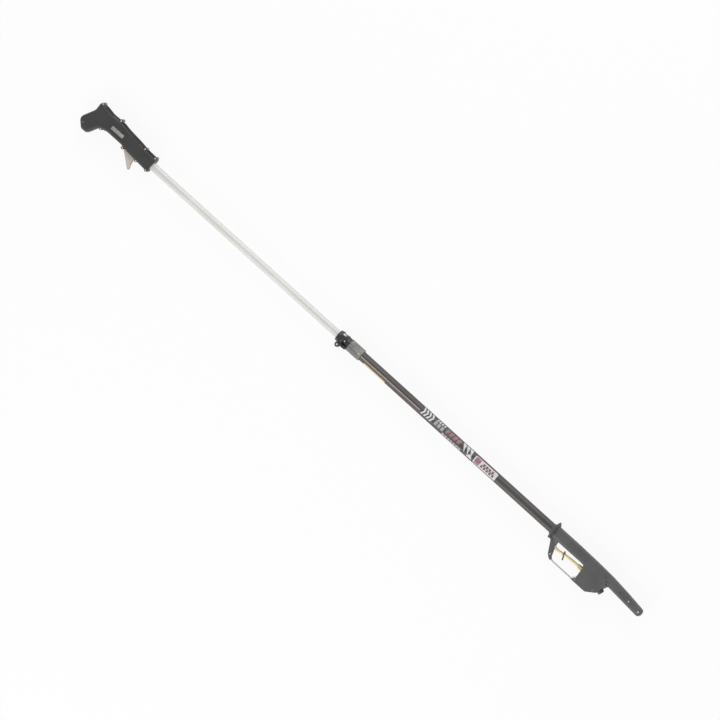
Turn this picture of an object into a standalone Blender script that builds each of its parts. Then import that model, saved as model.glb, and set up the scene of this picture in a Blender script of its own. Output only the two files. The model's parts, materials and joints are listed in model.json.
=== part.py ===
"""Telescopic pole with a control handle, a quick clamp and a carrying head, for an electric pruning shear.

The pole lies on its side. X runs along it from the handle to the head, Y towards the back of the grip and
Z up, square to the parting plane of the two mouldings. Sizes are in millimetres until a mesh is made.
"""

import math

import bmesh
import bpy
from mathutils import Matrix, Vector

MM = 0.001
GAP = 0.3  # clearance between pieces that touch
REACH_PAST = 1.0  # how far a cutter runs past what it cuts
TRIM_MARGIN = 50.0  # how far the boxes that part the half shells reach past them

# Tubes. The pole's own X starts at the rear face of the clamp.
INNER_DIAMETER = 25.0
INNER_WALL = 1.5
OUTER_DIAMETER = 30.0
OUTER_WALL = 1.2
REACH = 754.0  # bright tube that shows between the handle and the clamp
SEAT = 50.0  # how deep the inner tube sits in the handle
STOP_RADIUS = 10.5  # opening in the wall behind that seat
OVERLAP = 100.0  # how far the inner tube still reaches past the clamp's rear face
BUSH_STEM = 20.0  # how deep the guide bush sits in the inner tube
BUSH_RING = 9.0  # and how far its ring stands out of it
BUSH_EDGE = 0.9
HEAD_START = 868.0  # the head's mouth
SOCKET_DEPTH = 107.0  # how deep the outer tube sits in the head

# Handle, from its front face rearwards, as corners (x, y, rounding).
HANDLE_HALF = 20.0
HANDLE_WALL = 3.0
HANDLE_EDGE = 9.0
HANDLE_NOSE = 20.0  # outline that is cut off to leave a flat front face
HANDLE_CORNERS = [
    (HANDLE_NOSE, 24.8, 10),
    (-45, 27.0, 60),
    (-68, 30.4, 60),
    (-124, 35.0, 60),
    (-145, 38.6, 40),
    (-189, 37.4, 50),
    (-215, 41.6, 40),
    (-239.0, 43.4, 8),
    (-237.8, 13.5, 18),
    (-261.3, -33.8, 16),
    (-236.5, -57.8, 9),
    (-215.2, -57.4, 10),
    (-198, -24.0, 14),
    (-170, -13.2, 30),
    (-112, -13.2, 40),
    (-86, -17.8, 40),
    (HANDLE_NOSE, -23.8, 10),
]
HANDLE_LUGS = [
    (-230.3, 41.2),
    (-156.4, 40.2),
    (-46.6, 25.4),
    (-5.4, 24.4),
    (-190.0, -18.0),
    (-101.8, -17.2),
    (-46.3, -18.8),
    (-5.4, -20.0),
]
POMMEL_POST = (-242.5, -38.2)
POMMEL_HALF = HANDLE_HALF - 0.5
LUG_RADIUS = 4.9
LUG_HALF = HANDLE_HALF - 3.0
POST_RADIUS = 4.6
SEAT_RADIUS = HANDLE_HALF - 1.0  # block round the tube's seat
SEAT_WALL = 1.5  # its wall behind the tube's end
FRONT_WALL = (-21.5, 23.0)  # lower and upper end of the wall at the handle's front
FRONT_WALL_HALF = HANDLE_HALF - 6.5
FRONT_WALL_THICKNESS = 4.0

# Screws of the handle and the head are all alike.
SCREW_RADIUS = 1.4
SCREW_HEAD_RADIUS = 2.8
SCREW_HEAD_HEIGHT = 2.0
SCREW_SINK = 1.5  # depth of the seat below the cheek
SCREW_SKIN = 4.0  # what is left of the far side beyond the screw's tip
SMALL_SCREW_RADIUS = 1.5
SMALL_HEAD_RADIUS = 2.5
SMALL_HEAD_HEIGHT = 1.4
SMALL_HEAD_SINK = 0.6
SMALL_SCREW_DEPTH = 3.1

# Trigger, with its pivot and the switch above it, in the handle's frame.
PIVOT = (-62.0, -9.5)
PIVOT_RADIUS = 2.0
PIVOT_BOSS_RADIUS = 5.0
TRIGGER_HALF = 7.5
TRIGGER_EDGE = 1.2
TRIGGER_TOP = -2.7  # pad under the switch
TRIGGER_FLOOR = -9.0  # pad under the spring
TRIGGER_CORNERS = [
    (-55.5, TRIGGER_TOP, 5),
    (-55.9, -21.0, 20),
    (-52.5, -41.0, 60),
    (-43.3, -64.0, 3.5),
    (-96.0, -21.5, 2),
    (-96.0, -10.3, 1.5),
    (-104.5, -10.3, 1.5),
    (-104.5, -6.5, 1.5),
    (-97.0, -5.5, 3),
    (-92.0, TRIGGER_FLOOR, 2),
    (-81.5, TRIGGER_FLOOR, 3),
    (-77.5, TRIGGER_TOP, 2),
]
TRIGGER_SLOT = (-99.3, -53.0)
TRIGGER_SLOT_DEPTH = (-34.0, -8.5)
SWITCH_SIZE = (20.0, 10.0, 6.5)
SWITCH_CENTRE = (-72.0, 7.5)
SWITCH_REST = (6.0, 3.0)  # half length and half height of the blocks that hold it
PLUNGER_X = -71.5
PLUNGER_RADIUS = 1.1
PLUNGER_TOP = 7.0
PLUNGER_DEPTH = 9.0  # how far its hole reaches up into the switch, so that it has room to rise
SPRING_X = -86.0
SPRING_RADIUS = 3.4
SPRING_WIRE = 0.45
SPRING_TURNS = 7
SPRING_POINTS = 8  # to a turn
SPRING_TOP = 12.0
SPRING_SHELF = (-6.0, 3.0)  # its ends, from the spring's middle
SPRING_SHELF_THICKNESS = 3.0

# Blank plate on the handle's near cheek.
PLATE_CENTRE = (-142.2, 8.2)
PLATE_SIZE = (46.5, 11.4)
PLATE_THICKNESS = 1.3
PLATE_SINK = 1.0
PLATE_CORNER = 1.5
PLATE_EDGE = 0.4

# Clamp.
SLEEVE_WALL = 4.0
SLEEVE_RADIUS = OUTER_DIAMETER / 2 + SLEEVE_WALL
SLEEVE_EDGE = (2.5, 2.1)  # length and depth of the slope at its front end
SLEEVE_END = 96.0
COLLAR_LENGTH = 34.0
COLLAR_START = 1.5
COLLAR_RADIUS = SLEEVE_RADIUS
COLLAR_WAIST = COLLAR_RADIUS - 1.6
COLLAR_BAND = (14.0, 25.8)  # where the waist lies
COLLAR_SHOULDER = 7.5  # behind it the collar is a little narrower
COLLAR_EDGE = 1.0
FINGER_RADIUS = INNER_DIAMETER / 2 + 2.0
FINGER_START = 2.0
SLEEVE_NECK = (COLLAR_LENGTH + 2 * GAP, 45.0)
SLEEVE_NECK_RADIUS = SLEEVE_RADIUS - 1.5
TUBE_STOP = 50.0  # shoulder in the sleeve that the outer tube meets
RIB_COUNT = 24
RIB_GROOVE = (1.8, 1.2)
RIB_SPAN = (49.0, 91.0)
POCKET_SIZE = (15.0, 12.0, 1.6)
POCKET_X = 70.5
POCKET_ANGLE = 36.0
POCKET_CLEAR = 30.0  # degrees on either side of the pocket that stay without grooves
SCREW_CLEAR = 5.0  # the same for the sleeve's screw
FINGER_SLOTS = (45, 135)  # planes in which the fingers are parted
FINGER_SLOT = (2.0, 28.0)  # width, and how far it reaches into the sleeve
BOLT = (20.5, COLLAR_RADIUS + 0.5)  # x and z of the draw bolt
BOLT_RADIUS = 3.0
BOLT_TOP = 18.4
BOLT_SLOT_END = -10.6  # y up to which the bolt can be lifted out of the collar
BOLT_SLOT = 0.96  # width of that slot, as a share of the groove's
SPLIT = (-5.9, -4.1)  # y of the gap in the collar that the bolt draws together
CAM_Y = -COLLAR_RADIUS - 1.0
CAM_RADIUS = 8.0
CAM_PIN_RADIUS = 3.3
HUB_SHY = 0.2  # how much narrower the cam is than the lever, on each side
CAM_HALF = 7.3
CAM_Z = (BOLT[1] - CAM_HALF + 0.5, BOLT[1] + CAM_HALF + 0.5)
LEVER_EDGE = 1.0
LEVER_TOP = 5.7  # height of the arm's inner side over the cam's axis
LEVER_CORNERS = [
    (1.0, -2.0, 1.2),
    (10.0, 1.2, 4),
    (27.0, 2.0, 1.7),
    (27.0, LEVER_TOP, 1.7),
    (1.0, LEVER_TOP, 1.2),
]
HOUSING_HALF = 6.8
HOUSING_TOP = 13.7
HOUSING = (
    (BOLT[0] - HOUSING_HALF, BOLT[0] + HOUSING_HALF),
    (CAM_Y + LEVER_TOP + GAP, HOUSING_TOP),
    (COLLAR_RADIUS - 10.0, COLLAR_RADIUS + 6.0),
)
EYE_RADIUS = 5.8
EYE_HALF = 3.0
FORK_WEB = 1.2  # room between the eye and the bottom of the lever's fork
NUT_ACROSS = 10.0
NUT_HEIGHT = 3.2
COLLAR_SCREW = (30.6, 0.7)
SLEEVE_SCREW = (87.0, 0.7)

# Head, from its mouth forwards, as corners (x, y, rounding).
FLANGE_RADIUS = 29.5
FLANGE_PEAK = (5.2, 6.6)
FLANGE_SPAN = (FLANGE_PEAK[0] - 8.2, 15.5)
FLANGE_LIP = (0.8, 0.6)  # length and depth of the slope on either side of its rim
FLANGE_BACK = [(2.6, 3.5), (7.2, 1.8), (8.2, 0.8)]  # behind the rim: how far back, and wall left there
FLANGE_FLAT = -26.8  # its lower side is cut flat here
FLANGE_FOOT = 18.5  # radius of the cone's thin end
CONE_GAP = 0.4  # along the pole, between its cone and the shells
SPINE_HALF = (18.0, 14.0)  # half thickness at the mouth and at the arm's tip
SPINE_TAPER = (-6.0, 366.3)  # where the half thickness starts and ends its straight fall
SPINE_EDGE = 9.5
SPINE_CORNERS = [
    (-6.0, 18.0, 10),
    (96, 18.0, 300),
    (170, 16.7, 300),
    (230, 14.3, 300),
    (290, 8.9, 300),
    (366.3, -0.3, 10),
    (366.3, -25.8, 10),
    (243, -17.5, 300),
    (-6.0, -17.8, 10),
]
BELLY_HALF = 20.0
BELLY_WALL = 3.2
BELLY_EDGE = 2.2
BELLY_NOSE = [(223.0, -54.2, 5), (229.4, -33, 6)]  # the edge on which the outlet stands
BELLY_CORNERS = [
    (135, -10, 4),
    (145.8, -22, 12),
    (147.8, -56.0, 5),
    (132.6, -73.1, 2.4),
    (195.6, -73.1, 8),
    *BELLY_NOSE,
    (237.5, -16, 5),
    (230, -10, 4),
]
CAVITY_EDGE = 3.0
CAVITY_START = 150.4
CAVITY_CORNERS = [
    (CAVITY_START, -20.7, 4),
    (CAVITY_START, -65.6, 5),
    (191, -70.2, 5),
    (218, -52.5, 4),
    (225.7, -29.5, 4),
    (226.4, -20.7, 3.2),
]
LEG_HALF = 9.0
LEG_EDGE = 1.8
LEG_CORNERS = [
    (7.5, -8, 3),
    (7.5, -26.4, 3),
    (15.2, -26.4, 4),
    (36.5, -63.4, 12),
    (45.0, -71.0, 10),
    (54.0, -75.4, 2.4),
    (54.8, -69.8, 2.4),
    (49.0, -65.0, 6),
    (43.3, -48.0, 16),
    (37.8, -34.0, 10),
    (36.8, -8, 4),
]
HEAD_SCREWS = [
    (42.4, -60.4, LEG_HALF),
    (151.0, -66.4, BELLY_HALF),
    (212.2, -54.6, BELLY_HALF),
    (217.6, 0.6, 0),
    (232.6, -12.6, 0),
    (279.4, -4.8, 0),
    (315.0, -7.4, 0),
    (356.8, -12.0, 0),
]
NOSE_WAY = 0.53  # how far along the belly's nose the outlet stands
OUTLET_RADIUS = 6.0
OUTLET_NUT_RADIUS = 10.0
OUTLET_NUT_HEIGHT = 8.4
OUTLET_BACK = 22.0
OUTLET_WALL = 5.3  # thickness of the belly at its nose
OUTLET_DEPTH = 8.0
OUTLET_RIM = (1.5, 2.0)  # height and length of its rim inside the belly
OUTLET_EDGE = 1.5  # slope at the nut's end
OUTLET_SHY = 1.0  # how far its face lies behind the nut's end
BOW_THICKNESS = 2.8
BOW_HALF = 6.0
BOW_EYE_RADIUS = 3.7
BOW_EDGE = 0.5
BOW_STEP = 7.0
BOW_Y = -72.8
BOW_ROUTE = [  # between its two screws
    (46.3, -66.2),
    (53.0, -71.2),
    (62.0, BOW_Y),
    (76.0, BOW_Y),
    (129.0, BOW_Y),
    (138.0, -71.8),
    (144.6, -69.4),
]

# Yellow lead, its route across the window in the head's frame, and what is on it.
LEAD_RADIUS = 4.25
BOOT_Y = -31.2  # the lead's height in its boot
LEAD_ROUTE = [
    (-22, -8.4),
    (-8, -8.4),
    (4, -8.6),
    (13, -11.0),
    (21, -17.3),
    (27.5, -25.0),
    (34.5, -32.2),
    (43, -37.0),
    (52, -38.2),
    (64, -36.3),
    (80, -34.0),
    (100, -32.4),
    (122, -31.4),
    (150, BOOT_Y),
    (166, BOOT_Y),
    (182, -31.6),
    (195, -33.6),
]
CHANNEL_POINTS = 11  # how many of them the channel through tube and flange follows
BOOT_START = 128.3
BOOT_WALL = 145.1  # outer face of the belly's wall at the boot
BOOT_RADIUS = 7.0
BOOT_NECK_RADIUS = 5.9
BOOT_COLLAR = 2.0  # its rim inside the belly
BOOT_CONE = 6.0
TIE_X = 74.6
TIE_WIDTH = 4.0
TIE_RING = 1.3  # thickness of the band round the lead
TIE_STRAP = (28.0, 1.5)  # length and thickness of its tail
TIE_STRAP_Y = -4.6  # the tail's middle
TIE_STRAP_SINK = 0.6  # how deep the tail sits in the band
TIE_LEAN = 14.0
THIN_LEAD_RADIUS = 2.5
THIN_LEAD_ROUTE = [
    (-74, 13.9),
    (-73.9, 16.6),
    (-69, 19.2),
    (-62.5, 18.6),
    (-58, 14.5),
    (-54.8, 9.0),
    (-50.5, 4.0),
    (-43, 0.8),
    (-30, 0.0),
    (-15, 0.0),
]
CURL_RADIUS = 9.0
CURL_GAP = 12.0  # from the lead's two straight ends to its curled length


def clear_scene():
    for thing in list(bpy.data.objects):
        bpy.data.objects.remove(thing, do_unlink=True)
    for mesh in list(bpy.data.meshes):
        bpy.data.meshes.remove(mesh)


def make_collection(name):
    collection = bpy.data.collections.new(name)
    bpy.context.scene.collection.children.link(collection)
    return collection


def make_material(name, colour, roughness, metallic=0.0):
    material = bpy.data.materials.new(name)
    material.use_nodes = True
    shader = material.node_tree.nodes["Principled BSDF"]
    shader.inputs["Base Color"].default_value = (*colour, 1.0)
    shader.inputs["Roughness"].default_value = roughness
    shader.inputs["Metallic"].default_value = metallic
    material.diffuse_color = (*colour, 1.0)
    return material


clear_scene()
PARTS = make_collection("electric_pole_pruner")
CUTTERS = make_collection("cutters")

GRAPHITE = make_material("graphite_moulding", (0.045, 0.045, 0.046), 0.55)
HEAD_GREY = make_material("head_moulding", (0.085, 0.085, 0.087), 0.6)
BRIGHT = make_material("bright_aluminium", (0.80, 0.80, 0.78), 0.3, 1.0)
DARK_TUBE = make_material("dark_anodised_aluminium", (0.075, 0.073, 0.075), 0.4, 0.6)
CLAMP_BLACK = make_material("clamp_black", (0.02, 0.02, 0.021), 0.4)
SLEEVE_GREY = make_material("sleeve_grey", (0.16, 0.16, 0.16), 0.5)
TRIGGER_GREY = make_material("trigger_grey", (0.48, 0.45, 0.42), 0.5)
PLATE_GREY = make_material("plate_grey", (0.42, 0.42, 0.40), 0.45)
STEEL = make_material("zinc_plated_steel", (0.70, 0.70, 0.68), 0.3, 1.0)
SPRING_STEEL = make_material("spring_steel", (0.55, 0.55, 0.55), 0.3, 1.0)
SWITCH_BLACK = make_material("switch_black", (0.02, 0.02, 0.02), 0.4)
PLUNGER_WHITE = make_material("plunger_white", (0.75, 0.75, 0.72), 0.4)
BUSH_WHITE = make_material("bush_white", (0.70, 0.70, 0.66), 0.5)
YELLOW = make_material("yellow_lead", (0.80, 0.55, 0.12), 0.45)
BOOT_GREEN = make_material("boot_yellow_green", (0.50, 0.50, 0.10), 0.5)
TIE_BLACK = make_material("tie_black", (0.05, 0.05, 0.05), 0.5)


def empty(name, parent, x=0.0, y=0.0, z=0.0):
    """A frame for pieces that belong together, placed in millimetres."""
    holder = bpy.data.objects.new(name, None)
    PARTS.objects.link(holder)
    holder.parent = parent
    holder.location = Vector((x, y, z)) * MM
    holder.empty_display_size = 0.02
    return holder


def place(name, mesh, material, parent, at=(0.0, 0.0, 0.0), turn=None):
    """A finished piece in the model's collection."""
    piece = bpy.data.objects.new(name, mesh)
    PARTS.objects.link(piece)
    piece.parent = parent
    piece.location = Vector(at) * MM
    if turn:
        piece.rotation_euler = turn
    if not mesh.materials:
        mesh.materials.append(material)
    return piece


def place_cutter(name, mesh, parent, at=(0.0, 0.0, 0.0), turn=None):
    """A helper that cuts or joins, left out of the render."""
    cutter = bpy.data.objects.new(name, mesh)
    CUTTERS.objects.link(cutter)
    cutter.parent = parent
    cutter.location = Vector(at) * MM
    if turn:
        cutter.rotation_euler = turn
    cutter.hide_render = True
    cutter.display_type = "WIRE"
    return cutter


def cut(piece, cutter):
    modifier = piece.modifiers.new("Cut " + cutter.name, "BOOLEAN")
    modifier.operation = "DIFFERENCE"
    modifier.solver = "EXACT"
    modifier.object = cutter


def join(piece, other):
    modifier = piece.modifiers.new("Join " + other.name, "BOOLEAN")
    modifier.operation = "UNION"
    modifier.solver = "EXACT"
    modifier.object = other


def soften(piece, width, segments=2, angle=50.0):
    """Rounds the sharp edges of a piece."""
    modifier = piece.modifiers.new("Soften", "BEVEL")
    modifier.width = width * MM
    modifier.segments = segments
    modifier.limit_method = "ANGLE"
    modifier.angle_limit = math.radians(angle)


def mesh_of(bm, name, smooth_angle=32.0):
    """Closes a bmesh, scales it from millimetres and shades it."""
    bmesh.ops.recalc_face_normals(bm, faces=bm.faces)
    bmesh.ops.scale(bm, vec=(MM, MM, MM), verts=bm.verts)
    mesh = bpy.data.meshes.new(name)
    bm.to_mesh(mesh)
    bm.free()
    mesh.shade_smooth()
    mesh.set_sharp_from_angle(angle=math.radians(smooth_angle))
    return mesh


def add_box(bm, x, y, z, turn=None):
    """A box between two limits on each axis, turned about its centre."""
    middle = Vector([(low + high) / 2 for low, high in (x, y, z)])
    size = Matrix.Diagonal([high - low for low, high in (x, y, z)] + [1.0])
    bmesh.ops.create_cube(bm, size=1.0, matrix=Matrix.Translation(middle) @ (turn or Matrix()) @ size)


def add_rod(bm, start, end, radius, segments=24):
    """A cylinder between two points."""
    start, end = Vector(start), Vector(end)
    way = end - start
    turn = way.to_track_quat("Z", "Y").to_matrix().to_4x4()
    bmesh.ops.create_cone(
        bm,
        cap_ends=True,
        segments=segments,
        radius1=radius,
        radius2=radius,
        depth=way.length,
        matrix=Matrix.Translation((start + end) / 2) @ turn,
    )


def outline_of(corners, turn=24.0):
    """A closed outline, counterclockwise, whose corners (x, y, radius) are rounded by arcs."""
    points = []
    for i, (x, y, radius) in enumerate(corners):
        here = Vector((x, y))
        before = Vector(corners[i - 1][:2]) - here
        after = Vector(corners[(i + 1) % len(corners)][:2]) - here
        half = before.angle(after) / 2
        room = 0.48 * min(before.length, after.length)
        reach = min(radius / math.tan(half), room)
        radius = reach * math.tan(half)
        middle = here + (before.normalized() + after.normalized()).normalized() * (radius / math.sin(half))
        first = here + before.normalized() * reach - middle
        last = here + after.normalized() * reach - middle
        sweep = first.angle_signed(last)
        count = max(2, math.ceil(abs(math.degrees(sweep)) / turn))
        for k in range(count + 1):
            angle = -sweep * k / count
            points.append(
                middle
                + Vector(
                    (
                        first.x * math.cos(angle) - first.y * math.sin(angle),
                        first.x * math.sin(angle) + first.y * math.cos(angle),
                    )
                )
            )
    area = sum(a.x * b.y - b.x * a.y for a, b in zip(points, points[1:] + points[:1]))
    return points if area > 0 else points[::-1]


def inset(outline, distance):
    """The outline with each point moved inwards along the bisector of its two edges."""
    moved = []
    for i, here in enumerate(outline):
        one = (here - outline[i - 1]).normalized()
        two = (outline[(i + 1) % len(outline)] - here).normalized()
        normal = Vector((-(one.y + two.y), one.x + two.x)).normalized()
        moved.append(here + normal * distance / max(0.5, normal.dot(Vector((-one.y, one.x)))))
    return moved


def add_moulding(bm, outline, half, edge, middle=0.0, steps=2, share=None):
    """A flat body with an outline in XY, whose long edges are rounded, as a stack of inset outlines.

    Its thickness can taper: share gives the part of the full thickness that is left at each x.
    """
    rings = []
    for side in (-1, 1):
        turns = [side * math.pi / 2 * k / steps for k in range(steps + 1)]
        if side < 0:
            turns.reverse()
        for angle in turns:
            height = middle + side * (half - edge) + edge * math.sin(angle)
            points = inset(outline, edge * (1 - math.cos(angle)))
            rings.append([bm.verts.new((p.x, p.y, height * (share(p.x) if share else 1.0))) for p in points])
    count = len(outline)
    for low, high in zip(rings, rings[1:]):
        for i in range(count):
            j = (i + 1) % count
            bm.faces.new((low[i], low[j], high[j], high[i]))
    bm.faces.new(rings[0][::-1])
    bm.faces.new(rings[-1])


def moulding(name, corners, half, edge, middle=0.0, steps=2, share=None):
    bm = bmesh.new()
    add_moulding(bm, outline_of(corners), half, edge, middle, steps, share)
    return mesh_of(bm, name)


def turned(name, profile, material, parent, at=(0.0, 0.0, 0.0), along="X", steps=32, closed=True):
    """A turned piece. Its profile holds (distance along the axis, radius), outer side from far to near end."""
    mesh = bpy.data.meshes.new(name)
    points = [(radius * MM, 0.0, distance * MM) for distance, radius in profile]
    edges = [(i, i + 1) for i in range(len(points) - 1)]
    if closed:
        edges.append((len(points) - 1, 0))
    mesh.from_pydata(points, edges, [])
    turn = {"X": (0.0, math.pi / 2, 0.0), "Y": (-math.pi / 2, 0.0, 0.0), "Z": None}[along]
    if material:
        piece = place(name, mesh, material, parent, at, turn)
    else:
        piece = place_cutter(name, mesh, parent, at, turn)
    screw = piece.modifiers.new("Turn", "SCREW")
    screw.steps = steps
    screw.render_steps = steps
    screw.use_merge_vertices = True
    screw.merge_threshold = 0.00001
    screw.use_smooth_shade = False
    return piece


def tube(name, start, end, outer, inner, material, parent, steps=32):
    profile = [(end, outer), (start, outer), (start, inner), (end, inner)]
    return turned(name, profile, material, parent, steps=steps)


def smooth_route(points, step):
    """Points at even steps along a smooth curve through hand-chosen ones."""
    knots = [Vector(p) for p in points]
    knots = [2 * knots[0] - knots[1]] + knots + [2 * knots[-1] - knots[-2]]
    fine = []
    for a, b, c, d in zip(knots, knots[1:], knots[2:], knots[3:]):
        for k in range(24):
            t = k / 24
            square, cube = 2 * a - 5 * b + 4 * c - d, 3 * b - a - 3 * c + d
            fine.append(b + 0.5 * ((c - a) * t + square * t**2 + cube * t**3))
    fine.append(knots[-2])
    length = sum((b - a).length for a, b in zip(fine, fine[1:]))
    count = max(1, round(length / step))
    even = [fine[0]]
    walked = 0.0
    for a, b in zip(fine, fine[1:]):
        piece = (b - a).length
        while len(even) < count and walked + piece >= length * len(even) / count:
            even.append(a.lerp(b, (length * len(even) / count - walked) / piece))
        walked += piece
    even.append(fine[-1])
    return even


def cord(name, route, radius, material, parent, sides=2, at=(0.0, 0.0, 0.0)):
    """A round cord along a route in millimetres, as a curve with a bevel and filled caps."""
    curve = bpy.data.curves.new(name, "CURVE")
    curve.dimensions = "3D"
    curve.bevel_depth = radius * MM
    curve.bevel_resolution = sides
    curve.use_fill_caps = True
    spline = curve.splines.new("POLY")
    spline.points.add(len(route) - 1)
    for point, place_at in zip(spline.points, route):
        point.co = (*(Vector(place_at) * MM), 1.0)
    curve.materials.append(material)
    piece = bpy.data.objects.new(name, curve)
    PARTS.objects.link(piece)
    piece.parent = parent
    piece.location = Vector(at) * MM
    return piece


def cord_cutter(name, route, radius, parent):
    """The same round cord as a closed mesh that can cut."""
    piece = cord(name, route, radius, YELLOW, parent, sides=2)
    bpy.context.view_layer.update()
    graph = bpy.context.evaluated_depsgraph_get()
    mesh = bpy.data.meshes.new_from_object(piece.evaluated_get(graph))
    bpy.data.objects.remove(piece, do_unlink=True)
    bm = bmesh.new()
    bm.from_mesh(mesh)
    bmesh.ops.remove_doubles(bm, verts=bm.verts, dist=0.00001)
    bmesh.ops.recalc_face_normals(bm, faces=bm.faces)
    bm.to_mesh(mesh)
    bm.free()
    return place_cutter(name, mesh, parent)


def ribbon(path, thickness):
    """The outline of a strip that follows a path in XY."""
    left, right = [], []
    for i, here in enumerate(path):
        one = path[max(0, i - 1)]
        two = path[min(len(path) - 1, i + 1)]
        way = (two - one).normalized()
        side = Vector((-way.y, way.x)) * thickness / 2
        left.append(here + side)
        right.append(here - side)
    return right + left[::-1]


HANDLE_OUTLINE = outline_of(HANDLE_CORNERS)
SPINE_OUTLINE = outline_of(SPINE_CORNERS)
LEG_OUTLINE = outline_of(LEG_CORNERS)
X_LIMITS = (-REACH + min(p.x for p in HANDLE_OUTLINE), HEAD_START + max(p.x for p in SPINE_OUTLINE))
Y_LIMITS = (min(p.y for p in LEG_OUTLINE), max(y for x, y in HANDLE_LUGS) + LUG_RADIUS)
ORIGIN = (-sum(X_LIMITS) / 2, -sum(Y_LIMITS) / 2, FLANGE_RADIUS)

POLE = empty("pole_frame", None, *ORIGIN)
HANDLE = empty("handle_frame", POLE, -REACH)
HEAD = empty("head_frame", POLE, HEAD_START)


def spine_share(x):
    """The part of the spine's full thickness that is left at x."""
    way = min(1.0, max(0.0, (x - SPINE_TAPER[0]) / (SPINE_TAPER[1] - SPINE_TAPER[0])))
    return 1.0 + (SPINE_HALF[1] / SPINE_HALF[0] - 1.0) * way


def cheek_at(x, cheek):
    """Height of the near cheek at a screw, which on the spine follows from its taper."""
    return cheek or SPINE_HALF[0] * spine_share(x)


def screw_holes(prefix, places, parent):
    """Holes for screws, and a round recess for each head on the near side."""
    holes, recesses = bmesh.new(), bmesh.new()
    for x, y, cheek in places:
        height = cheek_at(x, cheek)
        seat = height - SCREW_SINK
        bottom = SCREW_SKIN - height - GAP
        add_rod(holes, (x, y, bottom), (x, y, seat + REACH_PAST), SCREW_RADIUS + GAP, segments=12)
        add_rod(recesses, (x, y, seat), (x, y, seat + height), SCREW_HEAD_RADIUS + GAP, segments=14)
    shapes = {prefix + "_holes": holes, prefix + "_recesses": recesses}
    return [place_cutter(name, mesh_of(shape, name), parent) for name, shape in shapes.items()]


def place_screw(name, radius, head_radius, head_height, seat, end, parent, x, y):
    """A pan-headed screw on Z, turned, with its head standing on the seat."""
    profile = [
        (seat + head_height, 0.0),
        (seat + head_height, head_radius * 0.72),
        (seat + head_height * 0.6, head_radius),
        (seat, head_radius),
        (seat, radius),
        (end, radius),
        (end, 0.0),
    ]
    turned(name, profile, STEEL, parent, (x, y, 0.0), along="Z", steps=10, closed=False)


def place_screws(prefix, places, parent):
    for number, (x, y, cheek) in enumerate(places, 1):
        height = cheek_at(x, cheek)
        seat = height - SCREW_SINK + GAP
        sizes = (SCREW_RADIUS, SCREW_HEAD_RADIUS, SCREW_HEAD_HEIGHT)
        place_screw(f"{prefix}_{number}", *sizes, seat, SCREW_SKIN - height, parent, x, y)


def half_trims(prefix, parent, outline):
    """Two large boxes that leave only the near or only the far half of a body."""
    ends = (min(p.x for p in outline) - TRIM_MARGIN, max(p.x for p in outline) + TRIM_MARGIN)
    reach = 2 * TRIM_MARGIN
    trims = {}
    for side, limits in (("near", (-reach, GAP / 2)), ("far", (-GAP / 2, reach))):
        bm = bmesh.new()
        add_box(bm, ends, (-2 * reach, 2 * reach), limits)
        trims[side] = place_cutter(prefix + "_trim_" + side, mesh_of(bm, prefix + "_trim_" + side), parent)
    return trims


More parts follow.
